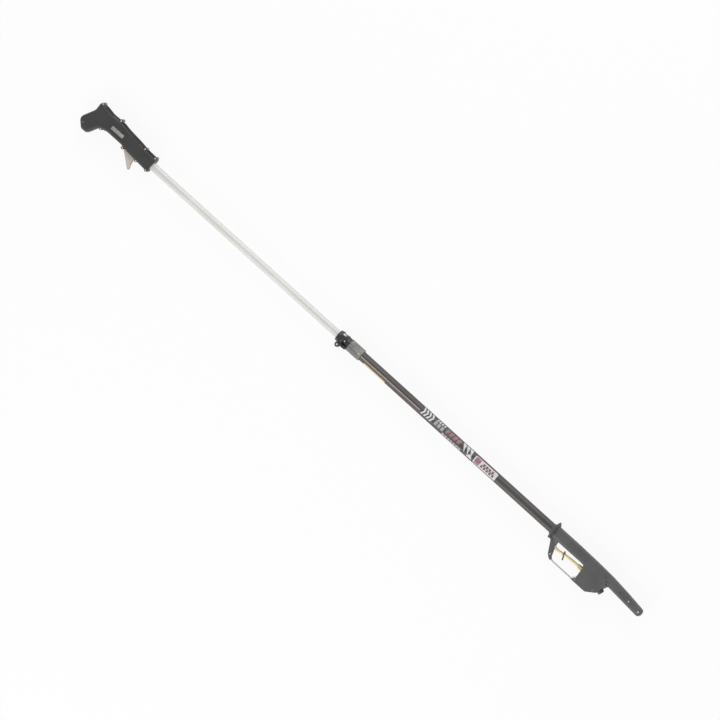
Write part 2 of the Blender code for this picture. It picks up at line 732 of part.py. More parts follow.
def make_handle_shells():
    """Two hollow half shells with screw lugs, posts, the tube's seat and the trigger's slot."""
    bm = bmesh.new()
    for x, y in HANDLE_LUGS:
        add_rod(bm, (x, y, -LUG_HALF), (x, y, LUG_HALF), LUG_RADIUS, segments=14)
    lugs = place_cutter("handle_lugs", mesh_of(bm, "handle_lugs"), HANDLE)
    soften(lugs, 1.0, segments=1)

    bm = bmesh.new()
    inner = inset(HANDLE_OUTLINE, HANDLE_WALL)
    add_moulding(bm, inner, HANDLE_HALF - HANDLE_WALL, HANDLE_EDGE - HANDLE_WALL, steps=1)
    cavity = place_cutter("handle_cavity", mesh_of(bm, "handle_cavity"), HANDLE)

    slot_half = TRIGGER_HALF + 2 * GAP
    solid = HANDLE_HALF - HANDLE_WALL / 2
    bm = bmesh.new()
    add_rod(bm, (-SEAT - SEAT_WALL, 0, 0), (HANDLE_NOSE, 0, 0), SEAT_RADIUS, segments=28)
    seat = place_cutter("handle_seat", mesh_of(bm, "handle_seat"), HANDLE)

    bm = bmesh.new()
    add_box(bm, (-FRONT_WALL_THICKNESS, HANDLE_NOSE), FRONT_WALL, (-FRONT_WALL_HALF, FRONT_WALL_HALF))
    wall = place_cutter("handle_front_wall", mesh_of(bm, "handle_front_wall"), HANDLE)

    bm = bmesh.new()
    add_rod(bm, (*POMMEL_POST, -solid), (*POMMEL_POST, solid), POST_RADIUS, segments=14)
    for side in (-1, 1):
        add_rod(
            bm,
            (*PIVOT, side * slot_half),
            (*PIVOT, side * solid),
            PIVOT_BOSS_RADIUS,
            segments=14,
        )
        limits = sorted((side * (SWITCH_SIZE[2] / 2 + GAP), side * solid))
        rest = [(middle - half, middle + half) for middle, half in zip(SWITCH_CENTRE, SWITCH_REST)]
        add_box(bm, *rest, limits)
    shelf = (SPRING_TOP, SPRING_TOP + SPRING_SHELF_THICKNESS)
    add_box(bm, (SPRING_X + SPRING_SHELF[0], SPRING_X + SPRING_SHELF[1]), shelf, (-solid, solid))
    posts = place_cutter("handle_posts", mesh_of(bm, "handle_posts"), HANDLE)

    bm = bmesh.new()
    add_rod(bm, (-SEAT - GAP, 0, 0), (HANDLE_NOSE + REACH_PAST, 0, 0), INNER_DIAMETER / 2 + GAP, segments=28)
    bore = place_cutter("handle_bore", mesh_of(bm, "handle_bore"), HANDLE)

    bm = bmesh.new()
    add_rod(bm, (-SEAT - SEAT_WALL - REACH_PAST, 0, 0), (-SEAT + REACH_PAST, 0, 0), STOP_RADIUS, segments=20)
    mouth = place_cutter("handle_mouth", mesh_of(bm, "handle_mouth"), HANDLE)

    bm = bmesh.new()
    add_box(bm, TRIGGER_SLOT, TRIGGER_SLOT_DEPTH, (-slot_half, slot_half))
    wide = 4 * HANDLE_HALF
    add_box(bm, (0.0, wide), (-wide, wide), (-wide, wide))
    slot = place_cutter("handle_slot", mesh_of(bm, "handle_slot"), HANDLE)

    bm = bmesh.new()
    add_rod(bm, (*PIVOT, -LUG_HALF), (*PIVOT, LUG_HALF), PIVOT_RADIUS + GAP, segments=12)
    pin_hole = place_cutter("handle_pin_hole", mesh_of(bm, "handle_pin_hole"), HANDLE)
    screws = [(x, y, LUG_HALF) for x, y in HANDLE_LUGS] + [(*POMMEL_POST, POMMEL_HALF)]
    holes = screw_holes("handle_screw", screws, HANDLE)
    trims = half_trims("handle", HANDLE, HANDLE_OUTLINE)

    body = moulding("handle_shell", HANDLE_CORNERS, HANDLE_HALF, HANDLE_EDGE)
    shells = {}
    for side in ("near", "far"):
        mesh = body.copy()
        shell = place("handle_shell_" + side, mesh, GRAPHITE, HANDLE)
        join(shell, lugs)
        cut(shell, cavity)
        join(shell, seat)
        join(shell, wall)
        join(shell, posts)
        cut(shell, bore)
        cut(shell, mouth)
        cut(shell, slot)
        cut(shell, pin_hole)
        for cutter in holes:
            cut(shell, cutter)
        cut(shell, trims[side])
        shells[side] = shell

    bm = bmesh.new()
    reach = [size / 2 + GAP for size in PLATE_SIZE]
    x, y = PLATE_CENTRE
    floor = HANDLE_HALF - PLATE_SINK
    add_box(bm, (x - reach[0], x + reach[0]), (y - reach[1], y + reach[1]), (floor, 2 * HANDLE_HALF))
    recess = place_cutter("plate_recess", mesh_of(bm, "plate_recess"), HANDLE)
    cut(shells["near"], recess)

    width, height = PLATE_SIZE
    turns = ((-1, -1), (1, -1), (1, 1), (-1, 1))
    corners = [(x + i * width / 2, y + j * height / 2, PLATE_CORNER) for i, j in turns]
    base = HANDLE_HALF - PLATE_SINK + GAP
    half = PLATE_THICKNESS / 2
    plate = moulding("handle_label_plate", corners, half, PLATE_EDGE, base + half, steps=1)
    place("handle_label_plate", plate, PLATE_GREY, HANDLE)

    place_screws("handle_screw", screws, HANDLE)


def make_trigger():
    """The trigger on its pivot, the pin, the return spring and the switch that it presses."""
    pivot = Vector(PIVOT)
    corners = [(x - pivot.x, y - pivot.y, radius) for x, y, radius in TRIGGER_CORNERS]
    axle = empty("trigger_axis", HANDLE, *PIVOT)
    mesh = moulding("trigger", corners, TRIGGER_HALF, TRIGGER_EDGE, steps=1)
    trigger = place("trigger", mesh, TRIGGER_GREY, axle)
    bm = bmesh.new()
    add_rod(bm, (0, 0, -2 * TRIGGER_HALF), (0, 0, 2 * TRIGGER_HALF), PIVOT_RADIUS + GAP, segments=16)
    cut(trigger, place_cutter("trigger_hole", mesh_of(bm, "trigger_hole"), axle))

    bm = bmesh.new()
    add_rod(bm, (*PIVOT, -LUG_HALF + GAP), (*PIVOT, LUG_HALF - GAP), PIVOT_RADIUS, segments=16)
    place("trigger_pin", mesh_of(bm, "trigger_pin"), STEEL, HANDLE)

    x, y = SWITCH_CENTRE
    width, height, depth = SWITCH_SIZE
    bm = bmesh.new()
    add_box(bm, (x - width / 2, x + width / 2), (y - height / 2, y + height / 2), (-depth / 2, depth / 2))
    switch = place("switch_body", mesh_of(bm, "switch_body"), SWITCH_BLACK, HANDLE)
    bottom = y - height / 2
    bm = bmesh.new()
    ends = [(PLUNGER_X, bottom + height, 0) for height in (-REACH_PAST, PLUNGER_DEPTH)]
    add_rod(bm, *ends, PLUNGER_RADIUS + GAP, segments=12)
    cut(switch, place_cutter("plunger_hole", mesh_of(bm, "plunger_hole"), HANDLE))
    soften(switch, 0.4, segments=1)

    tip = TRIGGER_TOP + GAP
    slider = empty("plunger_axis", HANDLE, PLUNGER_X, tip)
    height = PLUNGER_TOP - tip
    radius = PLUNGER_RADIUS
    edge = 0.6 * radius
    profile = [(height, 0.0), (height, radius), (edge, radius), (0.0, radius - edge), (0.0, 0.0)]
    turned("switch_plunger", profile, PLUNGER_WHITE, slider, along="Y", steps=10, closed=False)

    low, high = TRIGGER_FLOOR + GAP + SPRING_WIRE, SPRING_TOP - GAP - SPRING_WIRE
    count = SPRING_TURNS * SPRING_POINTS
    reach = SPRING_RADIUS - SPRING_WIRE
    coil = []
    for k in range(count + 1):
        angle = 2 * math.pi * k / SPRING_POINTS
        height = low + (high - low) * k / count
        coil.append((SPRING_X + reach * math.cos(angle), height, reach * math.sin(angle)))
    cord("trigger_spring", coil, SPRING_WIRE, SPRING_STEEL, HANDLE, sides=1)


def make_inner_tube():
    """The bright tube, its guide bush and the thin lead inside."""
    radius = INNER_DIAMETER / 2
    bore = radius - INNER_WALL
    tube("inner_tube", -REACH - SEAT, OVERLAP, radius, bore, BRIGHT, POLE)
    guide = OUTER_DIAMETER / 2 - OUTER_WALL - GAP
    stem = bore - GAP
    back, front = OVERLAP - BUSH_STEM, OVERLAP + BUSH_RING
    profile = [
        (front, guide - BUSH_EDGE),
        (front - BUSH_EDGE, guide),
        (OVERLAP + GAP, guide),
        (OVERLAP + GAP, stem),
        (back, stem),
        (back, THIN_LEAD_RADIUS + GAP),
        (front, THIN_LEAD_RADIUS + GAP),
    ]
    turned("tube_bush", profile, BUSH_WHITE, POLE, steps=20)
    route = smooth_route([(x, y, 0) for x, y in THIN_LEAD_ROUTE], 4.5)
    route.append(Vector((REACH + OVERLAP + CURL_GAP, 0, 0)))
    cord("lead_handle", route, THIN_LEAD_RADIUS, YELLOW, HANDLE)


def make_outer_tube():
    """The dark tube, from the sleeve's shoulder to the end of its socket in the head."""
    radius = OUTER_DIAMETER / 2
    ends = (TUBE_STOP + GAP, HEAD_START + SOCKET_DEPTH)
    return tube("outer_tube", *ends, radius, radius - OUTER_WALL, DARK_TUBE, POLE)


def make_clamp():
    """The sleeve with its fingers, the split collar, the draw bolt with its nut, and the cam lever."""
    tight = INNER_DIAMETER / 2 + GAP
    loose = OUTER_DIAMETER / 2 + GAP
    profile = [
        (SLEEVE_END, SLEEVE_RADIUS - SLEEVE_EDGE[1]),
        (SLEEVE_END - SLEEVE_EDGE[0], SLEEVE_RADIUS),
        (SLEEVE_NECK[1] + SLEEVE_RADIUS - SLEEVE_NECK_RADIUS, SLEEVE_RADIUS),
        (SLEEVE_NECK[1], SLEEVE_NECK_RADIUS),
        (SLEEVE_NECK[0], SLEEVE_NECK_RADIUS),
        (SLEEVE_NECK[0], FINGER_RADIUS),
        (FINGER_START, FINGER_RADIUS),
        (FINGER_START, tight),
        (TUBE_STOP, tight),
        (TUBE_STOP, loose),
        (SLEEVE_END, loose),
    ]
    sleeve = turned("clamp_sleeve", profile, SLEEVE_GREY, POLE)
    width, reach = FINGER_SLOT
    for number, angle in enumerate(FINGER_SLOTS, 1):
        bm = bmesh.new()
        turn = Matrix.Rotation(math.radians(angle), 4, "X")
        add_box(bm, (FINGER_START - 2, reach), (-30, 30), (-width / 2, width / 2), turn)
        cut(sleeve, place_cutter(f"finger_slot_{number}", mesh_of(bm, f"finger_slot_{number}"), POLE))
    width, depth = RIB_GROOVE
    bm = bmesh.new()
    for k in range(RIB_COUNT):
        angle = 360 * k / RIB_COUNT
        away = abs((angle - POCKET_ANGLE + 180) % 360 - 180)
        if away < POCKET_CLEAR or abs((angle + 180) % 360 - 180) < SCREW_CLEAR:
            continue
        turn = Matrix.Rotation(math.radians(-angle), 4, "X")
        centre = turn @ Vector((sum(RIB_SPAN) / 2, 0, SLEEVE_RADIUS))
        size = Matrix.Diagonal([RIB_SPAN[1] - RIB_SPAN[0], width, 2 * depth, 1.0])
        bmesh.ops.create_cube(bm, size=1.0, matrix=Matrix.Translation(centre) @ turn @ size)
    cut(sleeve, place_cutter("sleeve_grooves", mesh_of(bm, "sleeve_grooves"), POLE))
    bm = bmesh.new()
    turn = Matrix.Rotation(math.radians(-POCKET_ANGLE), 4, "X")
    length, width, depth = POCKET_SIZE
    centre = turn @ Vector((POCKET_X, 0, SLEEVE_RADIUS))
    size = Matrix.Diagonal([length, width, 2 * depth, 1.0])
    bmesh.ops.create_cube(bm, size=1.0, matrix=Matrix.Translation(centre) @ turn @ size)
    cut(sleeve, place_cutter("sleeve_pocket", mesh_of(bm, "sleeve_pocket"), POLE))

    inner = FINGER_RADIUS + GAP
    edge = COLLAR_EDGE
    low, high = COLLAR_BAND
    profile = [
        (COLLAR_LENGTH, COLLAR_RADIUS - edge),
        (COLLAR_LENGTH - edge, COLLAR_RADIUS),
        (high + edge / 2, COLLAR_RADIUS),
        (high - edge / 2, COLLAR_WAIST),
        (low + edge / 2, COLLAR_WAIST),
        (low - edge / 2, COLLAR_RADIUS),
        (COLLAR_SHOULDER + edge / 2, COLLAR_RADIUS),
        (COLLAR_SHOULDER - edge / 2, COLLAR_RADIUS - edge),
        (COLLAR_START + edge, COLLAR_RADIUS - edge),
        (COLLAR_START, COLLAR_RADIUS - 2 * edge),
        (COLLAR_START, inner - REACH_PAST),
        (COLLAR_LENGTH, inner - REACH_PAST),
    ]
    collar = turned("clamp_collar", profile, CLAMP_BLACK, POLE)
    bm = bmesh.new()
    add_box(bm, *HOUSING)
    housing = place_cutter("collar_housing", mesh_of(bm, "collar_housing"), POLE)
    soften(housing, 1.5)
    join(collar, housing)
    ends = (COLLAR_START - REACH_PAST, COLLAR_LENGTH + REACH_PAST)
    bm = bmesh.new()
    add_rod(bm, (ends[0], 0, 0), (ends[1], 0, 0), inner, segments=32)
    cut(collar, place_cutter("collar_bore", mesh_of(bm, "collar_bore"), POLE))
    x, z = BOLT
    hole = BOLT_RADIUS + GAP
    above = 2 * COLLAR_RADIUS
    bm = bmesh.new()
    add_box(bm, ends, SPLIT, (inner / 2, above))
    cut(collar, place_cutter("collar_split", mesh_of(bm, "collar_split"), POLE))
    bm = bmesh.new()
    add_rod(bm, (x, SPLIT[1] - REACH_PAST, z), (x, above, z), hole, segments=16)
    cut(collar, place_cutter("collar_bolt_hole", mesh_of(bm, "collar_bolt_hole"), POLE))
    bm = bmesh.new()
    add_rod(bm, (x, -above, z), (x, SPLIT[0] + REACH_PAST, z), hole, segments=16)
    cut(collar, place_cutter("collar_bolt_groove", mesh_of(bm, "collar_bolt_groove"), POLE))
    bm = bmesh.new()
    add_box(bm, (x - BOLT_SLOT * hole, x + BOLT_SLOT * hole), (-above, BOLT_SLOT_END), (z + GAP, above))
    cut(collar, place_cutter("collar_bolt_slot", mesh_of(bm, "collar_bolt_slot"), POLE))
    bm = bmesh.new()
    add_rod(bm, (x, CAM_Y, CAM_Z[0] - GAP), (x, CAM_Y, above), CAM_RADIUS + GAP, segments=28)
    cut(collar, place_cutter("cam_pocket", mesh_of(bm, "cam_pocket"), POLE))

    bm = bmesh.new()
    add_rod(bm, (x, CAM_Y, z - EYE_HALF), (x, CAM_Y, z + EYE_HALF), EYE_RADIUS, segments=20)
    bolt = place("draw_bolt", mesh_of(bm, "draw_bolt"), STEEL, POLE)
    bm = bmesh.new()
    add_rod(bm, (x, CAM_Y + CAM_PIN_RADIUS + GAP, z), (x, BOLT_TOP, z), BOLT_RADIUS, segments=16)
    join(bolt, place_cutter("bolt_shank", mesh_of(bm, "bolt_shank"), POLE))
    bm = bmesh.new()
    add_rod(bm, (x, CAM_Y, z - CAM_RADIUS), (x, CAM_Y, z + CAM_RADIUS), CAM_PIN_RADIUS + GAP, segments=16)
    pin_hole = place_cutter("cam_pin_hole", mesh_of(bm, "cam_pin_hole"), POLE)
    cut(bolt, pin_hole)

    base = HOUSING[1][1] + GAP
    bm = bmesh.new()
    add_rod(bm, (x, base, z), (x, base + NUT_HEIGHT, z), NUT_ACROSS / math.sqrt(3), segments=6)
    nut = place("draw_nut", mesh_of(bm, "draw_nut"), STEEL, POLE)
    bm = bmesh.new()
    add_rod(bm, (x, base - NUT_HEIGHT, z), (x, base + 2 * NUT_HEIGHT, z), hole, segments=16)
    cut(nut, place_cutter("nut_hole", mesh_of(bm, "nut_hole"), POLE))

    bm = bmesh.new()
    add_rod(bm, (x, CAM_Y, CAM_Z[0] - 1), (x, CAM_Y, CAM_Z[1] + 1), CAM_PIN_RADIUS, segments=20)
    place("cam_pin", mesh_of(bm, "cam_pin"), STEEL, POLE)

    hinge = empty("lever_axis", POLE, x, CAM_Y)
    middle = sum(CAM_Z) / 2
    half = (CAM_Z[1] - CAM_Z[0]) / 2
    mesh = moulding("cam_lever", LEVER_CORNERS, half, LEVER_EDGE, middle, steps=1)
    lever = place("cam_lever", mesh, CLAMP_BLACK, hinge)
    bm = bmesh.new()
    add_rod(bm, (0, 0, CAM_Z[0] + HUB_SHY), (0, 0, CAM_Z[1] - HUB_SHY), CAM_RADIUS, segments=28)
    hub = place_cutter("lever_hub", mesh_of(bm, "lever_hub"), hinge)
    soften(hub, 0.8, segments=1)
    join(lever, hub)
    bm = bmesh.new()
    eye = EYE_HALF + GAP
    wide = 2 * CAM_RADIUS
    add_box(bm, (-wide, EYE_RADIUS + FORK_WEB), (-wide, wide), (z - eye, z + eye))
    cut(lever, place_cutter("lever_fork", mesh_of(bm, "lever_fork"), hinge))
    bm = bmesh.new()
    add_rod(bm, (0, 0, 0), (0, 0, above), CAM_PIN_RADIUS + GAP, segments=16)
    cut(lever, place_cutter("lever_pin_hole", mesh_of(bm, "lever_pin_hole"), hinge))
    bm = bmesh.new()
    add_rod(bm, (-CAM_RADIUS, 0, 0), (SLEEVE_END, 0, 0), SLEEVE_RADIUS + 2 * GAP, segments=36)
    cut(lever, place_cutter("lever_hollow", mesh_of(bm, "lever_hollow"), POLE))

    for name, (sx, sy), owner in (
        ("collar_screw", COLLAR_SCREW, collar),
        ("sleeve_screw", SLEEVE_SCREW, sleeve),
    ):
        seat = COLLAR_RADIUS - SMALL_HEAD_SINK
        bm = bmesh.new()
        add_rod(bm, (sx, sy, inner / 2), (sx, sy, above), SMALL_SCREW_RADIUS + GAP, segments=12)
        cut(owner, place_cutter(name + "_hole", mesh_of(bm, name + "_hole"), POLE))
        bm = bmesh.new()
        add_rod(bm, (sx, sy, seat), (sx, sy, above), SMALL_HEAD_RADIUS + GAP, segments=16)
        cut(owner, place_cutter(name + "_recess", mesh_of(bm, name + "_recess"), POLE))
        sizes = (SMALL_SCREW_RADIUS, SMALL_HEAD_RADIUS, SMALL_HEAD_HEIGHT)
        place_screw(name, *sizes, seat + GAP, seat - SMALL_SCREW_DEPTH, POLE, sx, sy)


def bow_path():
    """The centre line of the guard bow, from one screw to the other."""
    points = [HEAD_SCREWS[0][:2], *BOW_ROUTE, HEAD_SCREWS[1][:2]]
    return [p.to_2d() for p in smooth_route([(x, y, 0) for x, y in points], BOW_STEP)]


def add_bow(bm, grow):
    """The bow's strip, with a margin all round."""
    add_moulding(bm, ribbon(bow_path(), BOW_THICKNESS + 2 * grow), BOW_HALF + grow, BOW_EDGE, steps=1)


def make_head(pipe):
    """Two half shells that form barrel, leg, belly and arm, with what they hold."""
    spine = moulding("head_spine", SPINE_CORNERS, SPINE_HALF[0], SPINE_EDGE, share=spine_share)
    bodies = [
        place_cutter("head_leg", moulding("head_leg", LEG_CORNERS, LEG_HALF, LEG_EDGE), HEAD),
        place_cutter("head_spine", spine, HEAD),
    ]
    start, end = FLANGE_SPAN
    rise, fall = FLANGE_LIP
    front = FLANGE_PEAK[1]
    slope = [(end, FLANGE_FOOT), (front + rise, FLANGE_RADIUS - fall), (front, FLANGE_RADIUS)]
    wide = 2 * FLANGE_RADIUS
    profile = [(end + CONE_GAP, 0.0)] + [(x + CONE_GAP, radius) for x, radius in slope]
    profile += [(front + CONE_GAP, wide), (start - wide, wide), (start - wide, 0.0)]
    mouth = turned("head_mouth", profile, None, HEAD, steps=36, closed=False)

    bm = bmesh.new()
    add_moulding(bm, outline_of(CAVITY_CORNERS), BELLY_HALF - BELLY_WALL, CAVITY_EDGE, steps=1)
    cavity = place_cutter("belly_cavity", mesh_of(bm, "belly_cavity"), HEAD)
    bm = bmesh.new()
    x, y, cheek = HEAD_SCREWS[2]
    solid = cheek - BELLY_WALL / 2
    add_rod(bm, (x, y, -solid), (x, y, solid), POST_RADIUS, segments=14)
    belly_post = place_cutter("belly_post", mesh_of(bm, "belly_post"), HEAD)

    bm = bmesh.new()
    add_rod(bm, (-wide, 0, 0), (SOCKET_DEPTH + GAP, 0, 0), OUTER_DIAMETER / 2 + GAP, segments=32)
    socket = place_cutter("head_socket", mesh_of(bm, "head_socket"), HEAD)

    route = [Vector((x, y, 0)) for x, y in LEAD_ROUTE]
    low, high = [Vector((x, y, 0)) for x, y, _ in BELLY_NOSE]
    way = (high - low).cross(Vector((0, 0, 1))).normalized()
    nose = low.lerp(high, NOSE_WAY)
    route.append(nose - way * (OUTLET_BACK + GAP))
    channel_route = smooth_route(route[:CHANNEL_POINTS], 8.0)
    channel = cord_cutter("lead_channel", channel_route, LEAD_RADIUS + 2 * GAP, HEAD)
    cut(pipe, channel)

    bm = bmesh.new()
    reach = 2 * (CAVITY_START - BOOT_WALL)
    ends = [(BOOT_WALL + side * reach, BOOT_Y, 0) for side in (-1, 1)]
    add_rod(bm, *ends, BOOT_NECK_RADIUS + GAP, segments=20)
    reach = 2 * OUTLET_WALL
    add_rod(bm, nose - way * reach, nose + way * reach, OUTLET_RADIUS + GAP, segments=20)
    wall_holes = place_cutter("belly_wall_holes", mesh_of(bm, "belly_wall_holes"), HEAD)

    bm = bmesh.new()
    add_bow(bm, GAP)
    bow_slot = place_cutter("bow_slot", mesh_of(bm, "bow_slot"), HEAD)
    bm = bmesh.new()
    reach = BOW_HALF + GAP
    for x, y, _ in HEAD_SCREWS[:2]:
        add_rod(bm, (x, y, -reach), (x, y, reach), BOW_EYE_RADIUS + GAP, segments=16)
    eye_slots = place_cutter("bow_eye_slots", mesh_of(bm, "bow_eye_slots"), HEAD)

    holes = screw_holes("head_screw", HEAD_SCREWS, HEAD)
    trims = half_trims("head", HEAD, SPINE_OUTLINE)
    belly = moulding("head_belly", BELLY_CORNERS, BELLY_HALF, BELLY_EDGE)
    for side in ("near", "far"):
        shell = place("head_shell_" + side, belly.copy(), HEAD_GREY, HEAD)
        for body in bodies:
            join(shell, body)
        cut(shell, cavity)
        join(shell, belly_post)
        for cutter in (mouth, socket, channel, wall_holes, bow_slot, eye_slots, *holes, trims[side]):
            cut(shell, cutter)

    place_screws("head_screw", HEAD_SCREWS, HEAD)

    bm = bmesh.new()
    add_bow(bm, 0.0)
    bow = place("guard_bow", mesh_of(bm, "guard_bow"), HEAD_GREY, HEAD)
    bm = bmesh.new()
    for x, y, _ in HEAD_SCREWS[:2]:
        add_rod(bm, (x, y, -BOW_HALF), (x, y, BOW_HALF), BOW_EYE_RADIUS, segments=16)
    join(bow, place_cutter("bow_eyes", mesh_of(bm, "bow_eyes"), HEAD))
    bm = bmesh.new()
    for x, y, _ in HEAD_SCREWS[:2]:
        add_rod(bm, (x, y, -2 * BOW_HALF), (x, y, 2 * BOW_HALF), SCREW_RADIUS + GAP, segments=14)
    cut(bow, place_cutter("bow_holes", mesh_of(bm, "bow_holes"), HEAD))

    hole = OUTER_DIAMETER / 2 + GAP
    rim = FLANGE_PEAK[0]
    profile = slope + [(rim, FLANGE_RADIUS), (rim - rise, FLANGE_RADIUS - fall)]
    profile += [(rim - back, hole + wall) for back, wall in FLANGE_BACK] + [(start, hole), (end, hole)]
    flange = turned("guard_flange", profile, HEAD_GREY, HEAD, steps=32)
    cut(flange, channel)
    bm = bmesh.new()
    add_box(bm, (start - REACH_PAST, end + REACH_PAST), (-wide, FLANGE_FLAT), (-wide, wide))
    cut(flange, place_cutter("flange_flat", mesh_of(bm, "flange_flat"), HEAD))

    lead_route = smooth_route(route, 9.0)
    cord("lead_head", lead_route, LEAD_RADIUS, YELLOW, HEAD, sides=3)

    bore = LEAD_RADIUS + GAP
    inside = CAVITY_START + GAP
    profile = [
        (inside + BOOT_COLLAR, BOOT_RADIUS),
        (inside, BOOT_RADIUS),
        (inside, BOOT_NECK_RADIUS),
        (BOOT_WALL - GAP, BOOT_NECK_RADIUS),
        (BOOT_WALL - GAP - 0.8, BOOT_RADIUS),
        (BOOT_START + BOOT_CONE, BOOT_RADIUS),
        (BOOT_START, bore + 1.0),
        (BOOT_START, bore),
        (inside + BOOT_COLLAR, bore),
    ]
    turned("lead_boot", profile, BOOT_GREEN, HEAD, (0, BOOT_Y, 0), steps=16)

    last, here = next((a, b) for a, b in zip(lead_route, lead_route[1:]) if b.x > TIE_X)
    middle = last.lerp(here, (TIE_X - last.x) / (here.x - last.x))
    tie_frame = empty("tie_frame", HEAD, *middle)
    tie_frame.rotation_euler = (0.0, 0.0, math.atan2(here.y - last.y, here.x - last.x))
    ring = LEAD_RADIUS + GAP
    half = TIE_WIDTH / 2
    profile = [(half, ring + TIE_RING), (-half, ring + TIE_RING), (-half, ring), (half, ring)]
    tie = turned("cable_tie", profile, TIE_BLACK, tie_frame, steps=20)
    bm = bmesh.new()
    length, thick = TIE_STRAP
    turn = Matrix.Rotation(math.radians(TIE_LEAN), 4, "Z")
    back = TIE_STRAP_SINK - ring - TIE_RING
    limits = (TIE_STRAP_Y - length / 2, TIE_STRAP_Y + length / 2)
    add_box(bm, (-half, half), limits, (back - thick, back), turn)
    strap = place_cutter("tie_strap", mesh_of(bm, "tie_strap"), tie_frame)
    join(tie, strap)

    axis = empty("outlet_frame", HEAD, *nose)
    axis.rotation_euler = (0.0, 0.0, math.atan2(way.y, way.x))
    profile = [
        (OUTLET_NUT_HEIGHT, OUTLET_NUT_RADIUS - OUTLET_EDGE),
        (OUTLET_NUT_HEIGHT - OUTLET_EDGE, OUTLET_NUT_RADIUS),
        (GAP, OUTLET_NUT_RADIUS),
        (GAP, OUTLET_RADIUS + GAP),
        (OUTLET_NUT_HEIGHT, OUTLET_RADIUS + GAP),
    ]
    turned("outlet_nut", profile, HEAD_GREY, axis, steps=24)
    rim, length = OUTLET_RIM
    face = OUTLET_NUT_HEIGHT - OUTLET_SHY
    inner = -OUTLET_WALL - GAP
    profile = [
        (face, 0.0),
        (face, OUTLET_RADIUS),
        (inner, OUTLET_RADIUS),
        (inner, OUTLET_RADIUS + rim),
        (inner - length, OUTLET_RADIUS + rim),
        (inner - length, OUTLET_RADIUS),
        (-OUTLET_BACK, OUTLET_RADIUS),
        (-OUTLET_BACK, 0.0),
    ]
    outlet = turned("outlet_socket", profile, SWITCH_BLACK, axis, steps=18, closed=False)
    bm = bmesh.new()
    add_rod(bm, (face - OUTLET_DEPTH, 0, 0), (face + REACH_PAST, 0, 0), OUTLET_RADIUS - rim, segments=18)
    cut(outlet, place_cutter("outlet_recess", mesh_of(bm, "outlet_recess"), axis))

    start, end = OVERLAP + CURL_GAP + GAP, HEAD_START + LEAD_ROUTE[0][0] - GAP
    bm = bmesh.new()
    add_rod(bm, (start, 0, 0), (end, 0, 0), CURL_RADIUS, segments=16)
    place("lead_coil", mesh_of(bm, "lead_coil"), YELLOW, POLE)


make_handle_shells()
make_trigger()
make_inner_tube()
make_clamp()
make_head(make_outer_tube())
print("pole frame", [round(value, 3) for value in ORIGIN])
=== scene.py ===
"""Looks of a telescopic pole with a control grip, a quick clamp and a carrying head, for a pruning shear.

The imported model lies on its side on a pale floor: X runs along the pole from the grip to the head, Y across
it and Z up. Places are given in millimetres in the pole's own frame, whose X starts at the clamp's rear face
and whose axis is the pole's, and place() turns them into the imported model's metres.
"""

import json
import math

import bmesh
import bpy
from mathutils import Matrix, Vector

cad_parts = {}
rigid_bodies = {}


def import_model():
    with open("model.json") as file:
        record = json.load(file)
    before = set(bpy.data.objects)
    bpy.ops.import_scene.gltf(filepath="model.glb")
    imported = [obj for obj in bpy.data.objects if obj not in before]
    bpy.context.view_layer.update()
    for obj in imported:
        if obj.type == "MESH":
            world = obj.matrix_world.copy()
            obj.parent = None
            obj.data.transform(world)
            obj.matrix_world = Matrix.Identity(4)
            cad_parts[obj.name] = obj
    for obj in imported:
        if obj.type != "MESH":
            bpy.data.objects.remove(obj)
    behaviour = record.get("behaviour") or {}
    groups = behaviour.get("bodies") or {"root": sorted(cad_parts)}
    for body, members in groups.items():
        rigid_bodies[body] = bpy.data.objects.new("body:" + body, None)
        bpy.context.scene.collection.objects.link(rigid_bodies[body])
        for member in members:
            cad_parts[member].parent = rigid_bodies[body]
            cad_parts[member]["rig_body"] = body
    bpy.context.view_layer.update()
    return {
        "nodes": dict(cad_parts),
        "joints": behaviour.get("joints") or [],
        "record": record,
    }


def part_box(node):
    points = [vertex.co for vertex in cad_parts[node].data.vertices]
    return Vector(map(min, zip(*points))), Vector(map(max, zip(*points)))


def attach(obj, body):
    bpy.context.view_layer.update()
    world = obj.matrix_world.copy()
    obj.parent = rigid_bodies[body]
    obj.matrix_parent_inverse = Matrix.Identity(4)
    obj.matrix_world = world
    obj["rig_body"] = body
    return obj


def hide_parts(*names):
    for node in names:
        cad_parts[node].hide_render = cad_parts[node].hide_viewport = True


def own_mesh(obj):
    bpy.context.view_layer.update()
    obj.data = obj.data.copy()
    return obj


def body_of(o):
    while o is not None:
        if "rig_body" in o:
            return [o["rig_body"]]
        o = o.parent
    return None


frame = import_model()
NODES = frame["nodes"]
SLOTS = {subpart["node"]: subpart["material_slot"] for subpart in frame["record"]["subparts"]}

MM = 0.001
TUBE_REAR = 50.3  # the outer tube's rear end, inside the sleeve
tube_low, tube_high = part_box("outer_tube")
ORIGIN = Vector((tube_low.x - TUBE_REAR * MM, (tube_low.y + tube_high.y) / 2, (tube_low.z + tube_high.z) / 2))

# Camera: the photograph's scale, the pole's slope in it, and the way from the object to the camera.
IMAGE_PIXELS = 720
PIXEL = 3.0  # millimetres of pole to a pixel, along the pole
SLOPE = math.radians(42.17)
VIEW = Vector((0.18, 0.17, 0.97)).normalized()
ANCHOR = (115.332, 0.0, 0.0)  # a point on the pole's axis
ANCHOR_PIXEL = (366.86, 360.25)  # where the photograph shows it
LENS = 1500.0  # in the camera's own millimetres, as the sensor is
SENSOR = 36.0
CLIP_END = 200.0  # metres

# Tubes, and where the frames of the handle and the head lie along the pole.
OUTER_RADIUS = 15.0
OUTER_BORE = 13.8
OUTER_END = 975.0
INNER_RADIUS = 12.5
INNER_BORE = 11.0
INNER_ENDS = (-804.0, 100.0)
HANDLE_X = -754.0
HEAD_X = 868.0

